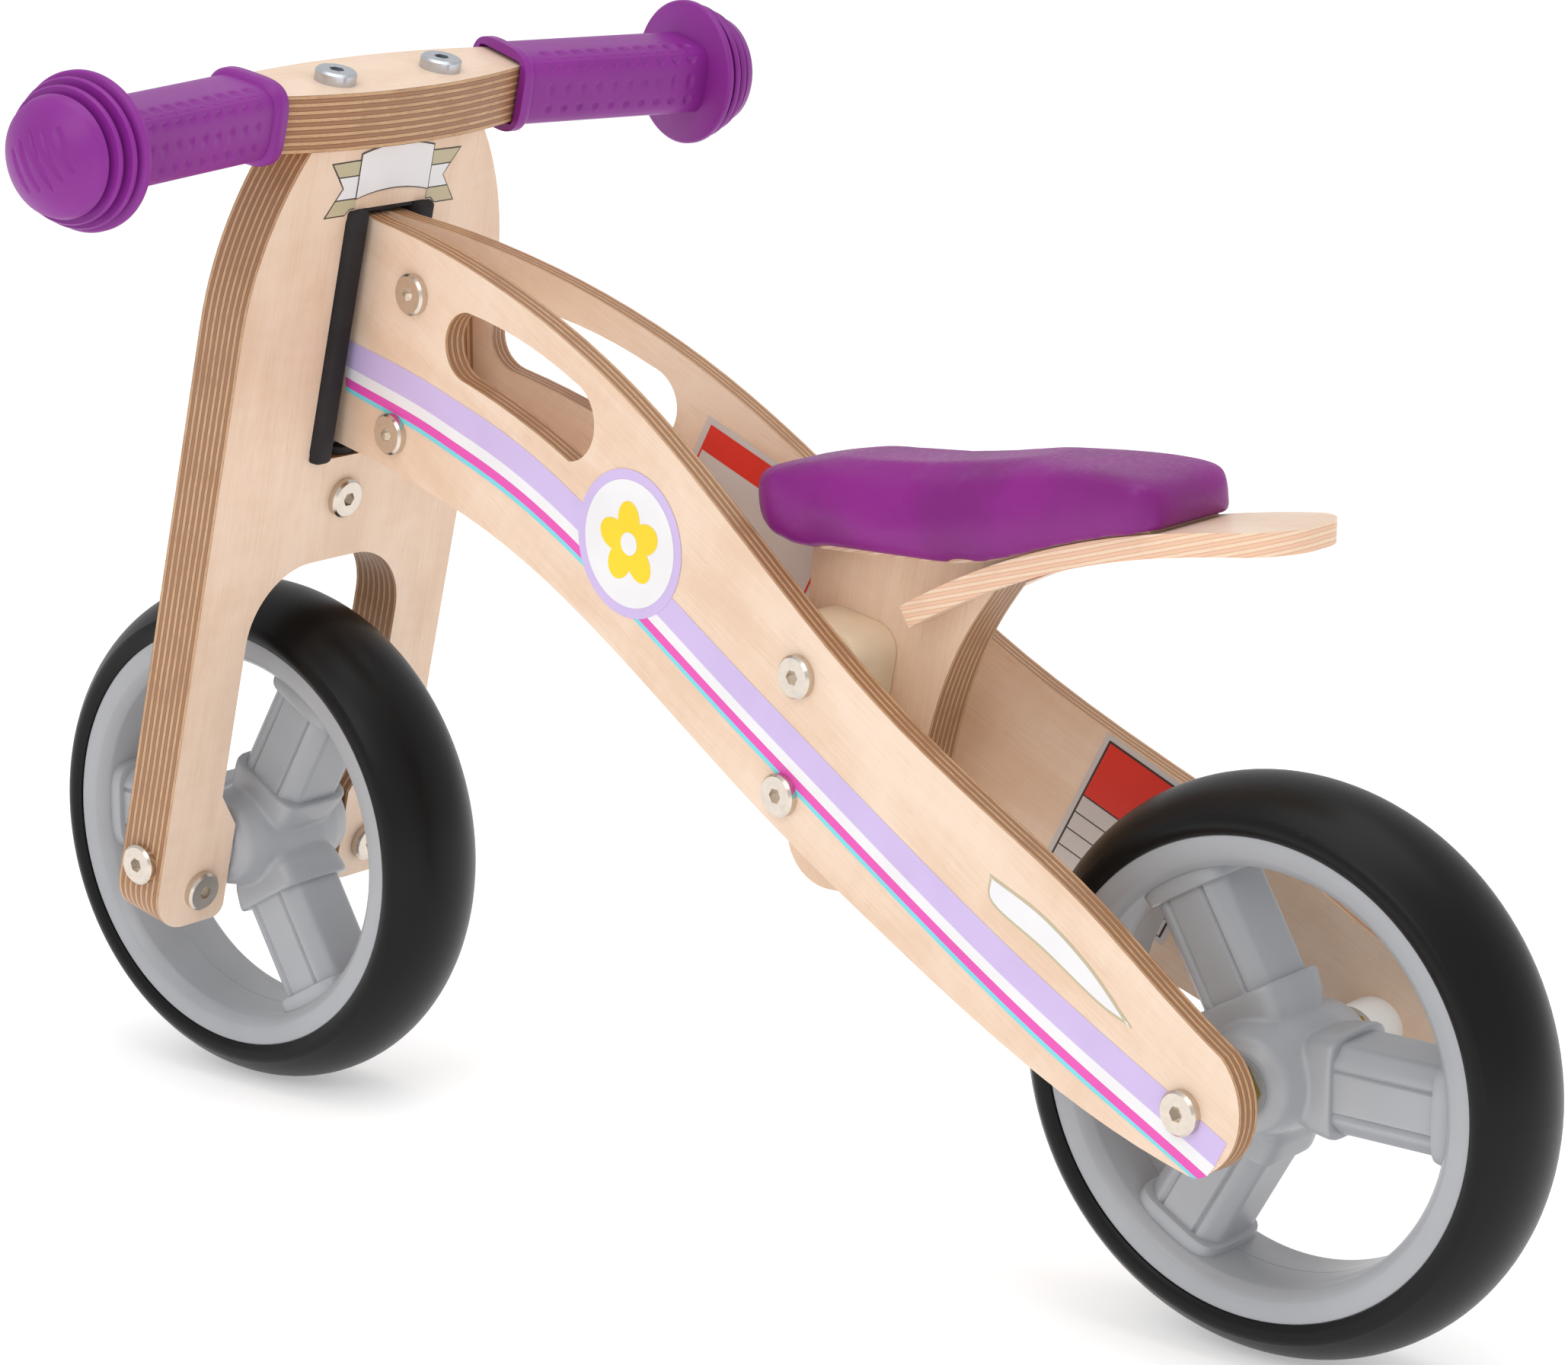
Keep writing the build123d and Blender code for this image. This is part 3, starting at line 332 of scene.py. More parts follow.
dress(moulded("wheel_grey", linear(162, 164, 167), 0.36, 0.06, 0.5, 0.02), "front_wheel_left_half",
      "front_wheel_right_half", "rear_wheel_left_half", "rear_wheel_right_half")
dress(moulded("bush_grey", linear(150, 152, 156), 0.4), "front_wheel_bushes", "rear_wheel_bushes")
dress(moulded("tyre_foam", linear(9, 9, 10), 0.36, 0.08, 0.22, 0.08), "front_tyre", "rear_tyre")
dress(moulded("foam_rubber", linear(44, 40, 42), 0.75, 0.5, 0.3, 0.12), "stop_rubber_left",
      "stop_rubber_right", "slot_top_pad", "thrust_washers")
dress(moulded("grip_rubber", linear(140, 44, 158), 0.42, 0.15, 0.45, 0.03), "grip_left", "grip_right")
dress(moulded("leatherette", linear(140, 30, 146), 0.36, 0.3, 0.5, 0.05), "seat_cushion")

# ------------------------------------------------------------------ building helpers
def add_piece(name, mesh, material, body, smooth=True):
    """Puts a mesh into the scene as a piece that rides on a body."""
    made = bpy.data.objects.new(name, mesh)
    scene.collection.objects.link(made)
    mesh.materials.clear()
    mesh.materials.append(material)
    for polygon in mesh.polygons:
        polygon.use_smooth = smooth
    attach(made, body)
    return made


def to_mesh(name, bm):
    """Turns a bmesh into a mesh, with its faces pointing outward."""
    bmesh.ops.recalc_face_normals(bm, faces=bm.faces)
    mesh = bpy.data.meshes.new(name)
    bm.to_mesh(mesh)
    bm.free()
    return mesh


def evaluated(made):
    """The mesh of an object with its modifiers applied."""
    bpy.context.view_layer.update()
    graph = bpy.context.evaluated_depsgraph_get()
    return bpy.data.meshes.new_from_object(made.evaluated_get(graph))


def voxelled(name, bm, size):
    """The mesh of overlapping closed shapes, joined into one skin of small faces."""
    made = bpy.data.objects.new(name, to_mesh(name, bm))
    scene.collection.objects.link(made)
    remesh = made.modifiers.new("remesh", "REMESH")
    remesh.mode = "VOXEL"
    remesh.voxel_size = size
    mesh = evaluated(made)
    bpy.data.objects.remove(made)
    return mesh


def curve_through(points, count):
    """Points along a smooth curve that passes through the given ones."""
    ends = [2 * Vector(points[0]) - Vector(points[1]), *map(Vector, points),
            2 * Vector(points[-1]) - Vector(points[-2])]
    made = []
    for number in range(count + 1):
        place = number / count * (len(points) - 1)
        index = min(int(place), len(points) - 2)
        t = place - index
        a, b, c, d = ends[index:index + 4]
        made.append(0.5 * (2 * b + (c - a) * t + (2 * a - 5 * b + 4 * c - d) * t * t
                           + (3 * b - a - 3 * c + d) * t * t * t))
    return made


def loft(bm, sections, closed=True):
    """Joins loops of the same length into a skin, capped at both ends unless it is a ring."""
    loops = [[bm.verts.new(point) for point in section] for section in sections]
    pairs = list(zip(loops, loops[1:]))
    if not closed:
        pairs.append((loops[-1], loops[0]))
    for low, high in pairs:
        for number in range(len(low)):
            after = (number + 1) % len(low)
            bm.faces.new((low[number], low[after], high[after], high[number]))
    if closed:
        bm.faces.new(loops[0])
        bm.faces.new(loops[-1])


def lathe(bm, profile, place, count=96, closed=True):
    """Turns a profile of (radius, along) points; place(radius, turn, along) gives each point."""
    sections = []
    for radius, along in profile:
        sections.append([place(radius, 2 * math.pi * n / count, along) for n in range(count)])
    loft(bm, sections, closed)


def rounded_loop(half_wide, half_high, power, count=48):
    """A softly squared loop, as (wide, high) points."""
    made = []
    for number in range(count):
        turn = 2 * math.pi * number / count
        c, s = math.cos(turn), math.sin(turn)
        made.append((half_wide * math.copysign(abs(c) ** (2 / power), c),
                     half_high * math.copysign(abs(s) ** (2 / power), s)))
    return made


# ------------------------------------------------------------------ printed decals
LAVENDER = linear(204, 184, 228)
WHITE_FILM = linear(236, 234, 236)
MAGENTA = linear(230, 82, 180)
CYAN = linear(124, 214, 226)
BEIGE_FILM = linear(196, 184, 152)
film = {
    "lavender": ink("film_lavender", LAVENDER),
    "white": ink("film_white", WHITE_FILM),
    "magenta": ink("film_magenta", MAGENTA),
    "cyan": ink("film_cyan", CYAN),
    "beige": ink("film_beige", BEIGE_FILM),
    "yellow": ink("film_yellow", linear(246, 212, 20)),
    "red": ink("film_red", linear(220, 52, 40)),
    "pale": ink("film_pale", linear(206, 198, 194)),
    "dark": ink("film_dark", linear(60, 50, 48)),
}


def decal(name, colour, outline, place, body):
    """A thin printed film whose flat outline is placed point by point."""
    corners = [Vector((x, z, 0)) for x, z in outline]
    mesh = bpy.data.meshes.new(name)
    mesh.from_pydata([place(p.x, p.y) for p in corners], [], tessellate_polygon([corners]))
    return add_piece(name, mesh, film[colour], body, smooth=False)


def strip(name, colour, top, bottom, place, body):
    """A printed band between two lines of the same number of points."""
    mesh = bpy.data.meshes.new(name)
    count = len(top)
    quads = [(n, n + 1, count + n + 1, count + n) for n in range(count - 1)]
    mesh.from_pydata([place(p[0], p[1]) for p in (*top, *bottom)], [], quads)
    return add_piece(name, mesh, film[colour], body, smooth=False)


def on_board(lift, side):
    return lambda x, z: board_point(x / 1000, z / 1000, lift, side)


STRIPE_TOP = ((420, 302), (365, 289), (300, 265), (195, 204), (80, 140))
STRIPE_DROPS = (0, 12, 17, 21, 23)
STRIPE_STEPS = 66
STRIPE_ENDS = ((-19, 94), (-14, 85), (-11, 81), (-7, 79), (-4, 79))


def stripe_line(drop, end):
    """The printed band's upper line, lowered; the bands narrow a little towards the head."""
    points = [(x, z - drop * min(1.0, 0.9 + (399 - x) / 1000)) for x, z in STRIPE_TOP]
    return curve_through([*points, end], STRIPE_STEPS)


STRIPE_LINES = [stripe_line(drop, end) for drop, end in zip(STRIPE_DROPS, STRIPE_ENDS)]
STRIPE_COLOURS = ("lavender", "white", "magenta", "cyan")
BADGE = (262.5, 247.0)


def circle(centre, radius, count=72):
    turns = [2 * math.pi * n / count for n in range(count)]
    return [(centre[0] + radius * math.cos(turn), centre[1] + radius * math.sin(turn)) for turn in turns]


def flower(centre, radius, petals=5):
    """A plain five-petalled flower."""
    points = []
    for number in range(80):
        turn = 2 * math.pi * number / 80
        reach = radius * (0.62 + 0.38 * abs(math.cos(petals * (turn - math.pi / 2) / 2)))
        points.append((centre[0] + reach * math.cos(turn), centre[1] + reach * math.sin(turn)))
    return points


BLADE_LOWER = ((86, 162), (85, 152), (62, 141), (37, 128), (22, 123))
BLADE_UPPER = ((22, 123), (41, 140), (62, 153), (86, 162))
BLADE_BORDER = 1.0
BLADE_LIFTS = (0.00012, 0.00020)


def inset(outline, border):
    """The outline drawn in by a border; it runs clockwise."""
    made = []
    for number, point in enumerate(outline):
        before, after = Vector(outline[number - 1]), Vector(outline[(number + 1) % len(outline)])
        along = (after - before).normalized()
        made.append((point[0] + along.y * border, point[1] - along.x * border))
    return made


blade = [tuple(p) for p in (*curve_through(BLADE_LOWER, 24)[:-1], *curve_through(BLADE_UPPER, 24)[:-1])]
for side, mark in ((1, "left"), (-1, "right")):
    for colour, top, bottom in zip(STRIPE_COLOURS, STRIPE_LINES, STRIPE_LINES[1:]):
        strip(f"stripe_{colour}_{mark}", colour, top, bottom, on_board(FILM_LIFTS[0], side), "frame")
    decal(f"badge_ring_{mark}", "lavender", circle(BADGE, 27.0), on_board(FILM_LIFTS[1], side), "frame")
    decal(f"badge_disc_{mark}", "white", circle(BADGE, 23.2), on_board(FILM_LIFTS[2], side), "frame")
    decal(f"badge_flower_{mark}", "yellow", flower(BADGE, 15.5), on_board(FILM_LIFTS[3], side), "frame")
    decal(f"badge_heart_{mark}", "white", circle(BADGE, 4.2), on_board(FILM_LIFTS[4], side), "frame")
    decal(f"blade_edge_{mark}", "beige", blade, on_board(BLADE_LIFTS[0], side), "frame")
    decal(f"blade_face_{mark}", "white", inset(blade, BLADE_BORDER), on_board(BLADE_LIFTS[1], side), "frame")


def on_inner(lift):
    """The right board's inner face."""
    return lambda x, z: board_point(x / 1000, z / 1000, -BOARD_THICKNESS - lift, -1)


def tilted(corner, lean, left, top, right, bottom):
    """A rectangle on a label, from its corner and the angle that its top edge leans by."""
    along = (-math.cos(lean), -math.sin(lean))
    down = (math.sin(lean), -math.cos(lean))
    made = []
    for u, v in ((left, top), (right, top), (right, bottom), (left, bottom)):
        made.append((corner[0] + along[0] * u + down[0] * v, corner[1] + along[1] * u + down[1] * v))
    return made


first = ((267, 286), math.radians(26.5))
decal("label_front_paper", "pale", tilted(*first, 0, 0, 66, 44), on_inner(FILM_LIFTS[0]), "frame")
decal("label_front_frame", "red", tilted(*first, 2.4, 2.4, 63.6, 41.6), on_inner(FILM_LIFTS[1]), "frame")
decal("label_front_body", "pale", tilted(*first, 3.2, 12.6, 62.8, 40.8), on_inner(FILM_LIFTS[2]), "frame")
second = ((104, 190), math.radians(27))
decal("label_rear_paper", "pale", tilted(*second, 0, 0, 53.6, 55.5), on_inner(FILM_LIFTS[0]), "frame")
decal("label_rear_frame", "dark", tilted(*second, 2.0, 2.0, 51.6, 53.5), on_inner(FILM_LIFTS[1]), "frame")
decal("label_rear_head", "red", tilted(*second, 2.8, 2.8, 50.8, 25.0), on_inner(FILM_LIFTS[2]), "frame")
for row in range(4):
    top = 25.6 + row * 7.0
    decal(f"label_rear_row_{row + 1}", "pale", tilted(*second, 2.8, top, 50.8, top + 6.5),
          on_inner(FILM_LIFTS[2]), "frame")


# ------------------------------------------------------------------ ribbon on the fork's rear face
SLOT_TOP = 262.5


def on_fork(lift):
    return lambda x, v: fork_point(x / 1000, (SLOT_TOP + v) / 1000, -FORK_THICKNESS / 2 - lift)


def arched(low, high, half, rise):
    """A panel with arched lower and upper edges."""
    lower = [(x, low + rise * (1 - (x / half) ** 2)) for x in [half * (n / 8 - 1) for n in range(17)]]
    upper = [(x, high + rise * (1 - (x / half) ** 2)) for x in [half * (1 - n / 8) for n in range(17)]]
    return lower + upper


decal("ribbon_outline", "dark", arched(4.0, 22.0, 19.6, 2.5), on_fork(FILM_LIFTS[2]), "steering")
decal("ribbon_panel", "white", arched(4.5, 21.5, 19.1, 2.5), on_fork(FILM_LIFTS[3]), "steering")
for sign, mark in ((1, "left"), (-1, "right")):
    tail = ((19, 19.6), (34.8, 19.4), (27.0, 9.0), (35.0, -1.9), (24, -1.9), (21.6, 0.3), (19, 0.3))
    decal(f"ribbon_tail_{mark}", "dark", [(sign * x, v) for x, v in tail], on_fork(FILM_LIFTS[0]), "steering")
    bands = (
        ("beige", ((19, 19.1), (33.8, 18.9), (29.8, 13.7), (19, 13.7))),
        ("white", ((19, 13.2), (29.4, 13.2), (26.5, 9.0), (29.6, 4.8), (19, 4.8))),
        ("beige", ((19, 4.3), (30.0, 4.3), (34.0, -1.4), (24.2, -1.4), (21.8, 0.7), (19, 0.7))),
    )
    for number, (colour, outline) in enumerate(bands):
        decal(f"ribbon_{mark}_{number + 1}", colour, [(sign * x, v) for x, v in outline],
              on_fork(FILM_LIFTS[1]), "steering")

# ------------------------------------------------------------------ wheels
def spoke_loop():
    """The tube spoke's section: an octagon with softened corners."""
    half, flat_end = 0.0155, 0.0101
    corners = [(half, -flat_end), (half, flat_end), (flat_end, half), (-flat_end, half), (-half, flat_end),
               (-half, -flat_end), (-flat_end, -half), (flat_end, -half)]
    made = []
    for number, corner in enumerate(corners):
        before, after = corners[number - 1], corners[(number + 1) % 8]
        back = Vector(before) - Vector(corner)
        on = Vector(after) - Vector(corner)
        first = Vector(corner) + back.normalized() * 0.0014
        last = Vector(corner) + on.normalized() * 0.0014
        made += [tuple(first), tuple((first + last + 2 * Vector(corner)) / 4), tuple(last)]
        run = on.length - 0.0028
        steps = 24 if run > 0.010 else 4
        made += [tuple(last + on.normalized() * run * n / steps) for n in range(1, steps)]
    return made


wheel_plastic = moulded("wheel_moulded", linear(166, 168, 172), 0.34, 0.05, 0.5, 0.02)


def wheel_shape(first_angle, centre_x):
    """One moulded wheel: turned rim, barrel hub, sleeves, grooved tube spokes and flared caps."""
    def around(radius, turn, along):
        return Vector((centre_x + radius * math.cos(turn), along, AXLE_Z + radius * math.sin(turn)))

    body = bmesh.new()
    bore = 0.0086
    near_half = [(0.0210, 0.0), (0.0206, 0.0100), (0.0192, 0.0190), (0.0172, 0.0255), (0.0160, 0.0275),
                 (0.0152, 0.0278), (0.0140, 0.0288), (0.0124, 0.0300), (bore, 0.0300)]
    hub = [(radius, -along) for radius, along in near_half[:0:-1]] + near_half
    lathe(body, hub, around, 72, closed=False)

    def arm(mesh, angle, sections):
        """Rounded sections along a spoke: (reach, half width, half depth, power)."""
        out = Vector((math.cos(angle), 0, math.sin(angle)))
        side = Vector((-math.sin(angle), 0, math.cos(angle)))
        centre = Vector((centre_x, 0, AXLE_Z))
        loops = []
        for reach, wide, deep, power in sections:
            loops.append([centre + out * reach + side * a + Vector((0, b, 0))
                          for a, b in rounded_loop(wide, deep, power)])
        loft(mesh, loops)

    angles = [first_angle + 2 * math.pi * n / 3 for n in range(3)]
    for angle in angles:
        arm(body, angle, [(0.0105, 0.0150, 0.0150, 3.6), (0.0180, 0.0172, 0.0174, 4.4),
                          (0.0240, 0.0178, 0.0179, 5.0), (0.0268, 0.0180, 0.0181, 5.0),
                          (0.0274, 0.0174, 0.0175, 5.0)])
    core = voxelled("wheel_core", body, 0.0008)
    made = bmesh.new()
    made.from_mesh(core)
    near = [v for v in made.verts if math.hypot(v.co.x - centre_x, v.co.z - AXLE_Z) > 0.0092]
    for _ in range(3):
        bmesh.ops.smooth_vert(made, verts=near, factor=0.5, use_axis_x=True, use_axis_y=True, use_axis_z=True)

    # Tube spokes with two grooves in each face, and the caps that meet the rim.
    for angle in angles:
        out = Vector((math.cos(angle), 0, math.sin(angle)))
        side = Vector((-math.sin(angle), 0, math.cos(angle)))
        centre = Vector((centre_x, 0, AXLE_Z))
        loops = []
        for reach in (0.0200, 0.0262, 0.0270, 0.0280, 0.0450, 0.0650, 0.0720):
            depth = 0.0 if reach < 0.0265 else 0.0012 if reach > 0.0275 else 0.0006
            loop = []
            for a, b in spoke_loop():
                notch = math.exp(-(((abs(a) - 0.0074) / 0.0007) ** 4)) if abs(b) > 0.012 else 0.0
                sunk = Vector((0, b - math.copysign(notch * depth, b), 0))
                loop.append(centre + out * reach + side * a + sunk)
            loops.append(loop)
        loft(made, loops)
        arm(made, angle, [(0.0656, 0.0165, 0.0167, 5.0), (0.0660, 0.0174, 0.0175, 4.6),
                          (0.0668, 0.0178, 0.0178, 4.4), (0.0690, 0.0182, 0.0178, 4.4),
                          (0.0706, 0.0192, 0.0174, 4.0), (0.0720, 0.0208, 0.0168, 4.0)])
    face = 0.0217
    seam = (0.0714, 0.0)
    rim_half = [(0.0711, 0.0003), (0.0711, 0.0112), (0.0715, 0.0120), (0.0716, 0.0170), (0.0722, 0.0182),
                (0.0744, 0.0206), (0.0753, 0.0213), (0.0759, face), (0.0826, face), (0.0830, 0.0213),
                (0.0828, 0.0189), (0.0790, 0.0179)]
    rim = [(radius, -along) for radius, along in rim_half[::-1]] + [seam] + rim_half
    lathe(made, rim, around, 160, closed=False)
    return to_mesh("wheel_shape", made)


for name, angle, centre_x in (("front", 0.0, FRONT_X), ("rear", math.pi, REAR_X)):
    wheel = add_piece(f"{name}_wheel_moulding", wheel_shape(angle, centre_x), wheel_plastic, f"{name}_wheel")
    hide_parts(f"{name}_wheel_left_half", f"{name}_wheel_right_half")
    crease = wheel.modifiers.new("edges", "EDGE_SPLIT")
    crease.split_angle = math.radians(38)

# ------------------------------------------------------------------ grips
grip_rubber = moulded("grip_soft", linear(134, 38, 140), 0.4, 0.12, 0.32, 0.03)
SWEEP = math.radians(9.3)
RISE = math.radians(0.8)
DIMPLE_PITCH = 0.0078
DOME_RADIUS = 0.0216
DOME_RISE = 0.0095
DOME_TOP = 0.1212
GROOVE_PITCH = 0.0052


def grip_shape(sign):
    """One grip: collar, dimpled squarish barrel, wide flange, stacked rings and a grooved dome."""
    along = LEFT * math.cos(SWEEP) * math.cos(RISE) - FRONT_FORK * math.sin(SWEEP) + UP_FORK * math.sin(RISE)
    along.normalize()
    up = (UP_FORK - along * UP_FORK.dot(along)).normalized()
    rear = along.cross(up).normalized()
    if rear.dot(FRONT_FORK) > 0:
        rear = -rear
    start = fork_point(0.066, BAR_MIDDLE, 0.00425)

    def at(level, back, high):
        point = start + along * level + rear * back + up * high
        return point if sign > 0 else mirrored(point)

    rows = (
        (0.0085, 0.0143, 0.0020, 0.0031),
        (0.0134, 0.0110, 0.0027, 0.0022),
        (0.01505, 0.0020, 0.0017, 0.0017),
        (0.01505, -0.0062, 0.0017, 0.0017),
    )

    def dent(level, back, high):
        """How deep the barrel is dimpled at a point."""
        deepest = 0.0
        if 0.011 < level < 0.088:
            for row_back, row_high, around, length in rows:
                step = (level - 0.0152) / DIMPLE_PITCH
                off = (step - round(step)) * DIMPLE_PITCH / length
                swerve = math.hypot(back - row_back, high - row_high) / around
                reach = off * off + swerve * swerve
                if reach < 1.0:
                    deepest = max(deepest, 0.0009 * (1 - reach) ** 0.6)
        return deepest

    made = bmesh.new()
    loops = []
    steps = 190
    for number in range(steps + 1):
        level = 0.0960 * number / steps
        lip = 0.0
        if level < 0.0058:
            lip = 0.0021 * max(0.0, 1 - max(0.0, (level - 0.0030) / 0.0028) ** 2) ** 0.5
        loop = []
        for a, b in rounded_loop(0.01505 + lip, 0.0143 + lip, 3.6, 150):
            depth = dent(level, a, b)
            size = math.hypot(a, b)
            loop.append(at(level, a - a / size * depth, b - b / size * depth))
        loops.append(loop)
    # An inner skin leaves room for the handlebar's end.
    for level in (0.0935, 0.0):
        loops.append([at(level, a, b) for a, b in rounded_loop(0.0132, 0.0126, 12.0, 150)])
    loft(made, loops, closed=False)
    profile = [(0.002, 0.0938), (0.0272, 0.0938), (0.0281, 0.0946), (0.0281, 0.0964), (0.0272, 0.0972)]
    for neck, low, high in ((0.0223, 0.0972, 0.0995), (0.0201, 0.1020, 0.1044)):
        # A neck, then a ring with bevelled edges.
        profile += [(neck, low), (neck, high), (neck + 0.0035, high), (neck + 0.0040, high + 0.0006),
                    (neck + 0.0040, high + 0.0019), (neck + 0.0035, high + 0.0025)]
    profile += [(0.0176, 0.1069), (0.0176, 0.1092), (0.0211, 0.1092), (DOME_RADIUS, 0.1098)]
    ball = (DOME_RADIUS ** 2 + DOME_RISE ** 2) / (2 * DOME_RISE)
    for number in range(1, 25):
        radius = DOME_RADIUS * (1 - number / 24.6)
        profile.append((radius, DOME_TOP - ball + math.sqrt(ball ** 2 - radius ** 2)))

    def turned(radius, turn, level):
        back, high = radius * math.cos(turn), radius * math.sin(turn)
        if level > 0.1105:
            # Slanted shallow grooves across the dome.
            u = 0.8 * back + 0.6 * high
            v = 0.8 * high - 0.6 * back
            nearest = round(u / GROOVE_PITCH)
            length = 0.0105 - 0.0012 * abs(nearest)
            if abs(nearest) <= 2 and abs(v) < length:
                width = 0.0014 * math.sqrt(1 - (v / length) ** 2)
                off = abs(u - nearest * GROOVE_PITCH)
                if off < width:
                    level -= 0.0007 * (1 - (off / width) ** 2)
        return at(level, back, high)

    lathe(made, profile, turned, 144)
    return to_mesh("grip_shape", made)


for sign, name in ((1, "grip_left"), (-1, "grip_right")):
    grip = add_piece(f"{name}_soft", grip_shape(sign), grip_rubber, "steering")
    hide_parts(name)
    crease = grip.modifiers.new("edges", "EDGE_SPLIT")
    crease.split_angle = math.radians(50)

# ------------------------------------------------------------------ rubber stops
stop_rubber = moulded("stop_rubber", linear(40, 36, 38), 0.78, 0.5, 0.3, 0.12)
for sign, name in ((1, "stop_rubber_left"), (-1, "stop_rubber_right")):
    bm = bmesh.new()
    loops = []
    for v, drawn_in in ((0.1622, 0.0014), (0.1632, 0.0), (0.1700, 0.0), (0.2000, 0.0), (0.2300, 0.0),
                        (0.2540, 0.0), (0.2612, 0.0), (0.2623, 0.0014)):
        loop = []
        for a, b in rounded_loop(0.0049 - drawn_in * 0.6, 0.0129 - drawn_in * 0.6, 5.0, 40):
            loop.append(fork_point(sign * (0.0175 + a), v, -0.0020 + b))
        loops.append(loop)
    loft(bm, loops)
    foam = add_piece(f"{name}_foam", to_mesh(name, bm), stop_rubber, "steering")
    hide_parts(name)
    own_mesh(foam)

# ------------------------------------------------------------------ cushion
CUSHION_VOXEL = 0.0028
HELD_REACH = 0.0032
SMOOTHINGS = 9
CLOTH_PRESSURE = 4.0
CLOTH_FRAMES = 20
SWELL_LIMIT = 0.0035


def cushion_skin():
    """The padded cushion: the CAD solid softened, swollen by a short cloth run, with its hollow kept."""
    source = nodes["seat_cushion"].data
    bm = bmesh.new()
    bm.from_mesh(source)
    mesh = voxelled("cushion_start", bm, CUSHION_VOXEL)
    held = []
    for node in ("seat_base", "seat_plate"):
        corners = [v.co for v in nodes[node].data.vertices]
        faces = [tuple(p.vertices) for p in nodes[node].data.polygons]
        held.append(mathutils.bvhtree.BVHTree.FromPolygons(corners, faces))
    bm = bmesh.new()
    bm.from_mesh(mesh)
    free = [v for v in bm.verts if min(tree.find_nearest(v.co)[3] for tree in held) > HELD_REACH]
    for _ in range(SMOOTHINGS):
        bmesh.ops.smooth_vert(bm, verts=free, factor=0.5, use_axis_x=True, use_axis_y=True, use_axis_z=True)
    free_numbers = {v.index for v in free}
    bm.to_mesh(mesh)
    bm.free()
    rest = [v.co.copy() for v in mesh.vertices]
    trial = bpy.data.objects.new("cushion_trial", mesh)
    scene.collection.objects.link(trial)
    group = trial.vertex_groups.new(name="held")
    group.add([v.index for v in mesh.vertices if v.index not in free_numbers], 1.0, "REPLACE")
    cloth = trial.modifiers.new("cloth", "CLOTH")
    cloth.settings.use_pressure = True
    cloth.settings.uniform_pressure_force = CLOTH_PRESSURE
    cloth.settings.vertex_group_mass = "held"
    cloth.settings.effector_weights.gravity = 0.0
    cloth.point_cache.frame_start = 1
    cloth.point_cache.frame_end = CLOTH_FRAMES
    for number in range(1, CLOTH_FRAMES + 1):
        scene.frame_set(number)
    swollen = evaluated(trial)
    scene.frame_set(1)
    bpy.data.objects.remove(trial)
    for vertex, start in zip(swollen.vertices, rest):
        move = vertex.co - start
        if move.length > SWELL_LIMIT:
            vertex.co = start + move.normalized() * SWELL_LIMIT
    return swollen


leather = Shader("leather_purple")
place = leather.place.outputs["Object"]
cloud = leather.noise(place, 30.0, 3.0)
leather.set(Base_Color=leather.mix(leather.remap(cloud, 0.3, 0.7), linear(118, 6, 112), linear(132, 10, 126)))
pebble = leather.add("ShaderNodeTexVoronoi", feature="DISTANCE_TO_EDGE")
leather.feed(pebble.inputs["Vector"], place)
pebble.inputs["Scale"].default_value = 900.0
leather.set(Roughness=leather.remap(leather.noise(place, 500.0), 0.3, 0.7, 0.36, 0.48, False))
leather.set(Specular_IOR_Level=0.4)
leather.bump(leather.remap(pebble.outputs["Distance"], 0.0, 0.2), 0.08, 0.0001)
cushion = add_piece("seat_cushion_padded", cushion_skin(), leather.material, "seat")
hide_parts("seat_cushion")
finer = cushion.modifiers.new("finer", "SUBSURF")
finer.levels = 1
finer.render_levels = 1

for node in nodes.values():
    for polygon in node.data.polygons:
        polygon.use_smooth = True
    node.data.update()
    smooth = node.modifiers.new("edges", "EDGE_SPLIT")
    smooth.split_angle = math.radians(32)

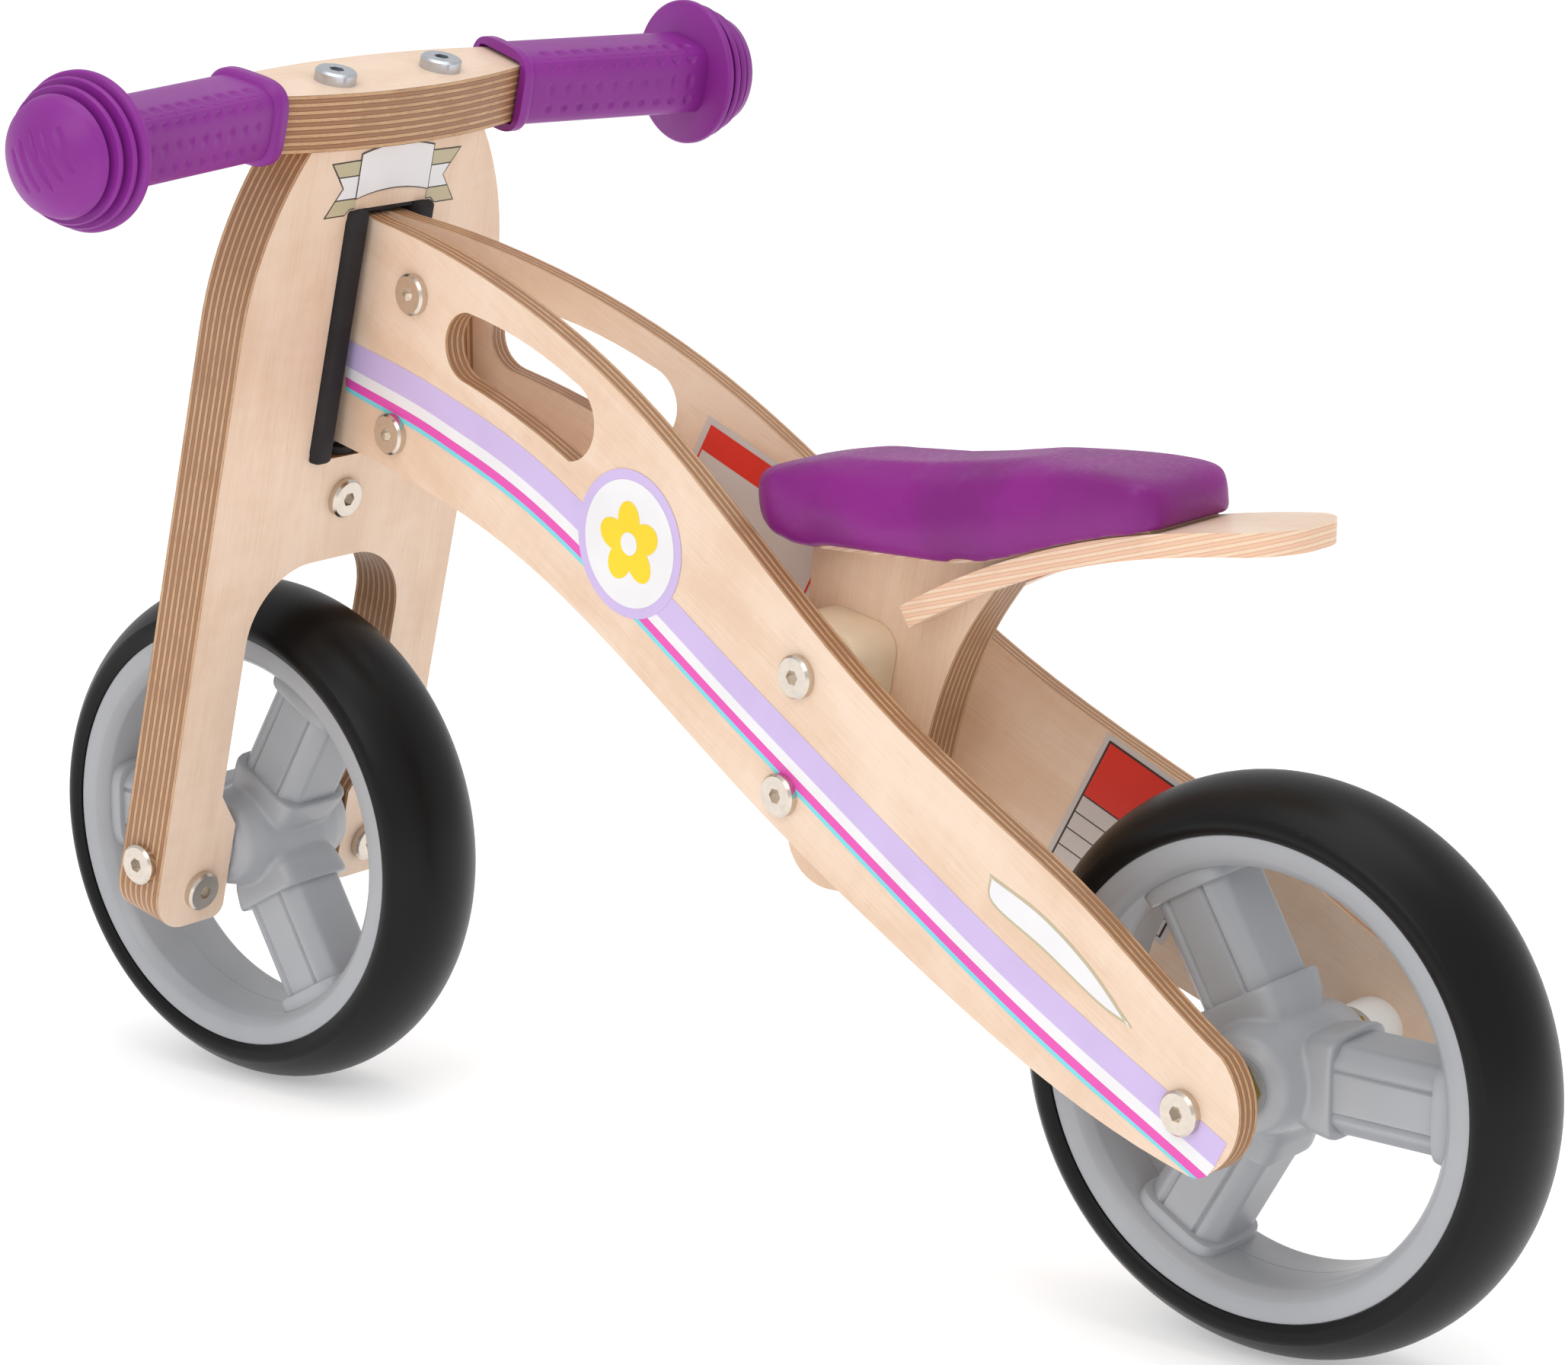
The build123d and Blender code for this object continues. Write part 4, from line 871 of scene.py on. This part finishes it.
# ------------------------------------------------------------------ floor, light and camera
def flat_sheet(name, width, depth, centre):
    mesh = bpy.data.meshes.new(name)
    corners = [(centre[0] + sx * width / 2, centre[1] + sy * depth / 2, centre[2]) for sx, sy in
               ((-1, -1), (1, -1), (1, 1), (-1, 1))]
    mesh.from_pydata(corners, [], [(0, 1, 2, 3)])
    made = bpy.data.objects.new(name, mesh)
    scene.collection.objects.link(made)
    return made


floor = flat_sheet("studio_floor", 12.0, 12.0, (0, 0, 0))
paper = Shader("studio_paper")
cloud = paper.noise(paper.place.outputs["Object"], 3.0, 2.0)
paper.set(Base_Color=paper.mix(paper.remap(cloud, 0.3, 0.7), (0.93, 0.93, 0.93), (0.95, 0.95, 0.95)))
paper.set(Roughness=0.9, Specular_IOR_Level=0.1)
paper.set(Emission_Color=(1.0, 1.0, 1.0), Emission_Strength=0.36)
floor.data.materials.append(paper.material)

world = bpy.data.worlds.new("studio")
scene.world = world
world.use_nodes = True
world.node_tree.nodes["Background"].inputs[0].default_value = (1.0, 1.0, 1.0, 1)
world.node_tree.nodes["Background"].inputs[1].default_value = 0.76


def area_light(name, place, aim, size, power, colour=(1, 1, 1)):
    data = bpy.data.lights.new(name, "AREA")
    data.shape = "RECTANGLE"
    data.size, data.size_y = size
    data.energy = power
    data.color = colour
    made = bpy.data.objects.new(name, data)
    made.location = place
    made.rotation_euler = (Vector(aim) - Vector(place)).to_track_quat("-Z", "Y").to_euler()
    scene.collection.objects.link(made)
    return made


area_light("key", (-0.4, 1.6, 1.5), (0, 0, 0.2), (1.2, 0.9), 7.0)
area_light("top", (-0.2, 0.1, 1.8), (0, 0, 0.2), (1.6, 1.2), 8.0)

camera_data = bpy.data.cameras.new("camera")
camera_data.sensor_width = 36.0
camera_data.lens = 108.79
camera = bpy.data.objects.new("camera", camera_data)
camera.location = (-0.81352 + REAR_X, 1.27337, 0.59395)
azimuth, elevation = math.radians(-51.06), math.radians(-13.59)
level = math.cos(elevation)
sight = Vector((level * math.cos(azimuth), level * math.sin(azimuth), math.sin(elevation)))
camera.rotation_euler = sight.to_track_quat("-Z", "Y").to_euler()
scene.collection.objects.link(camera)
scene.camera = camera
scene.view_settings.view_transform = "Standard"
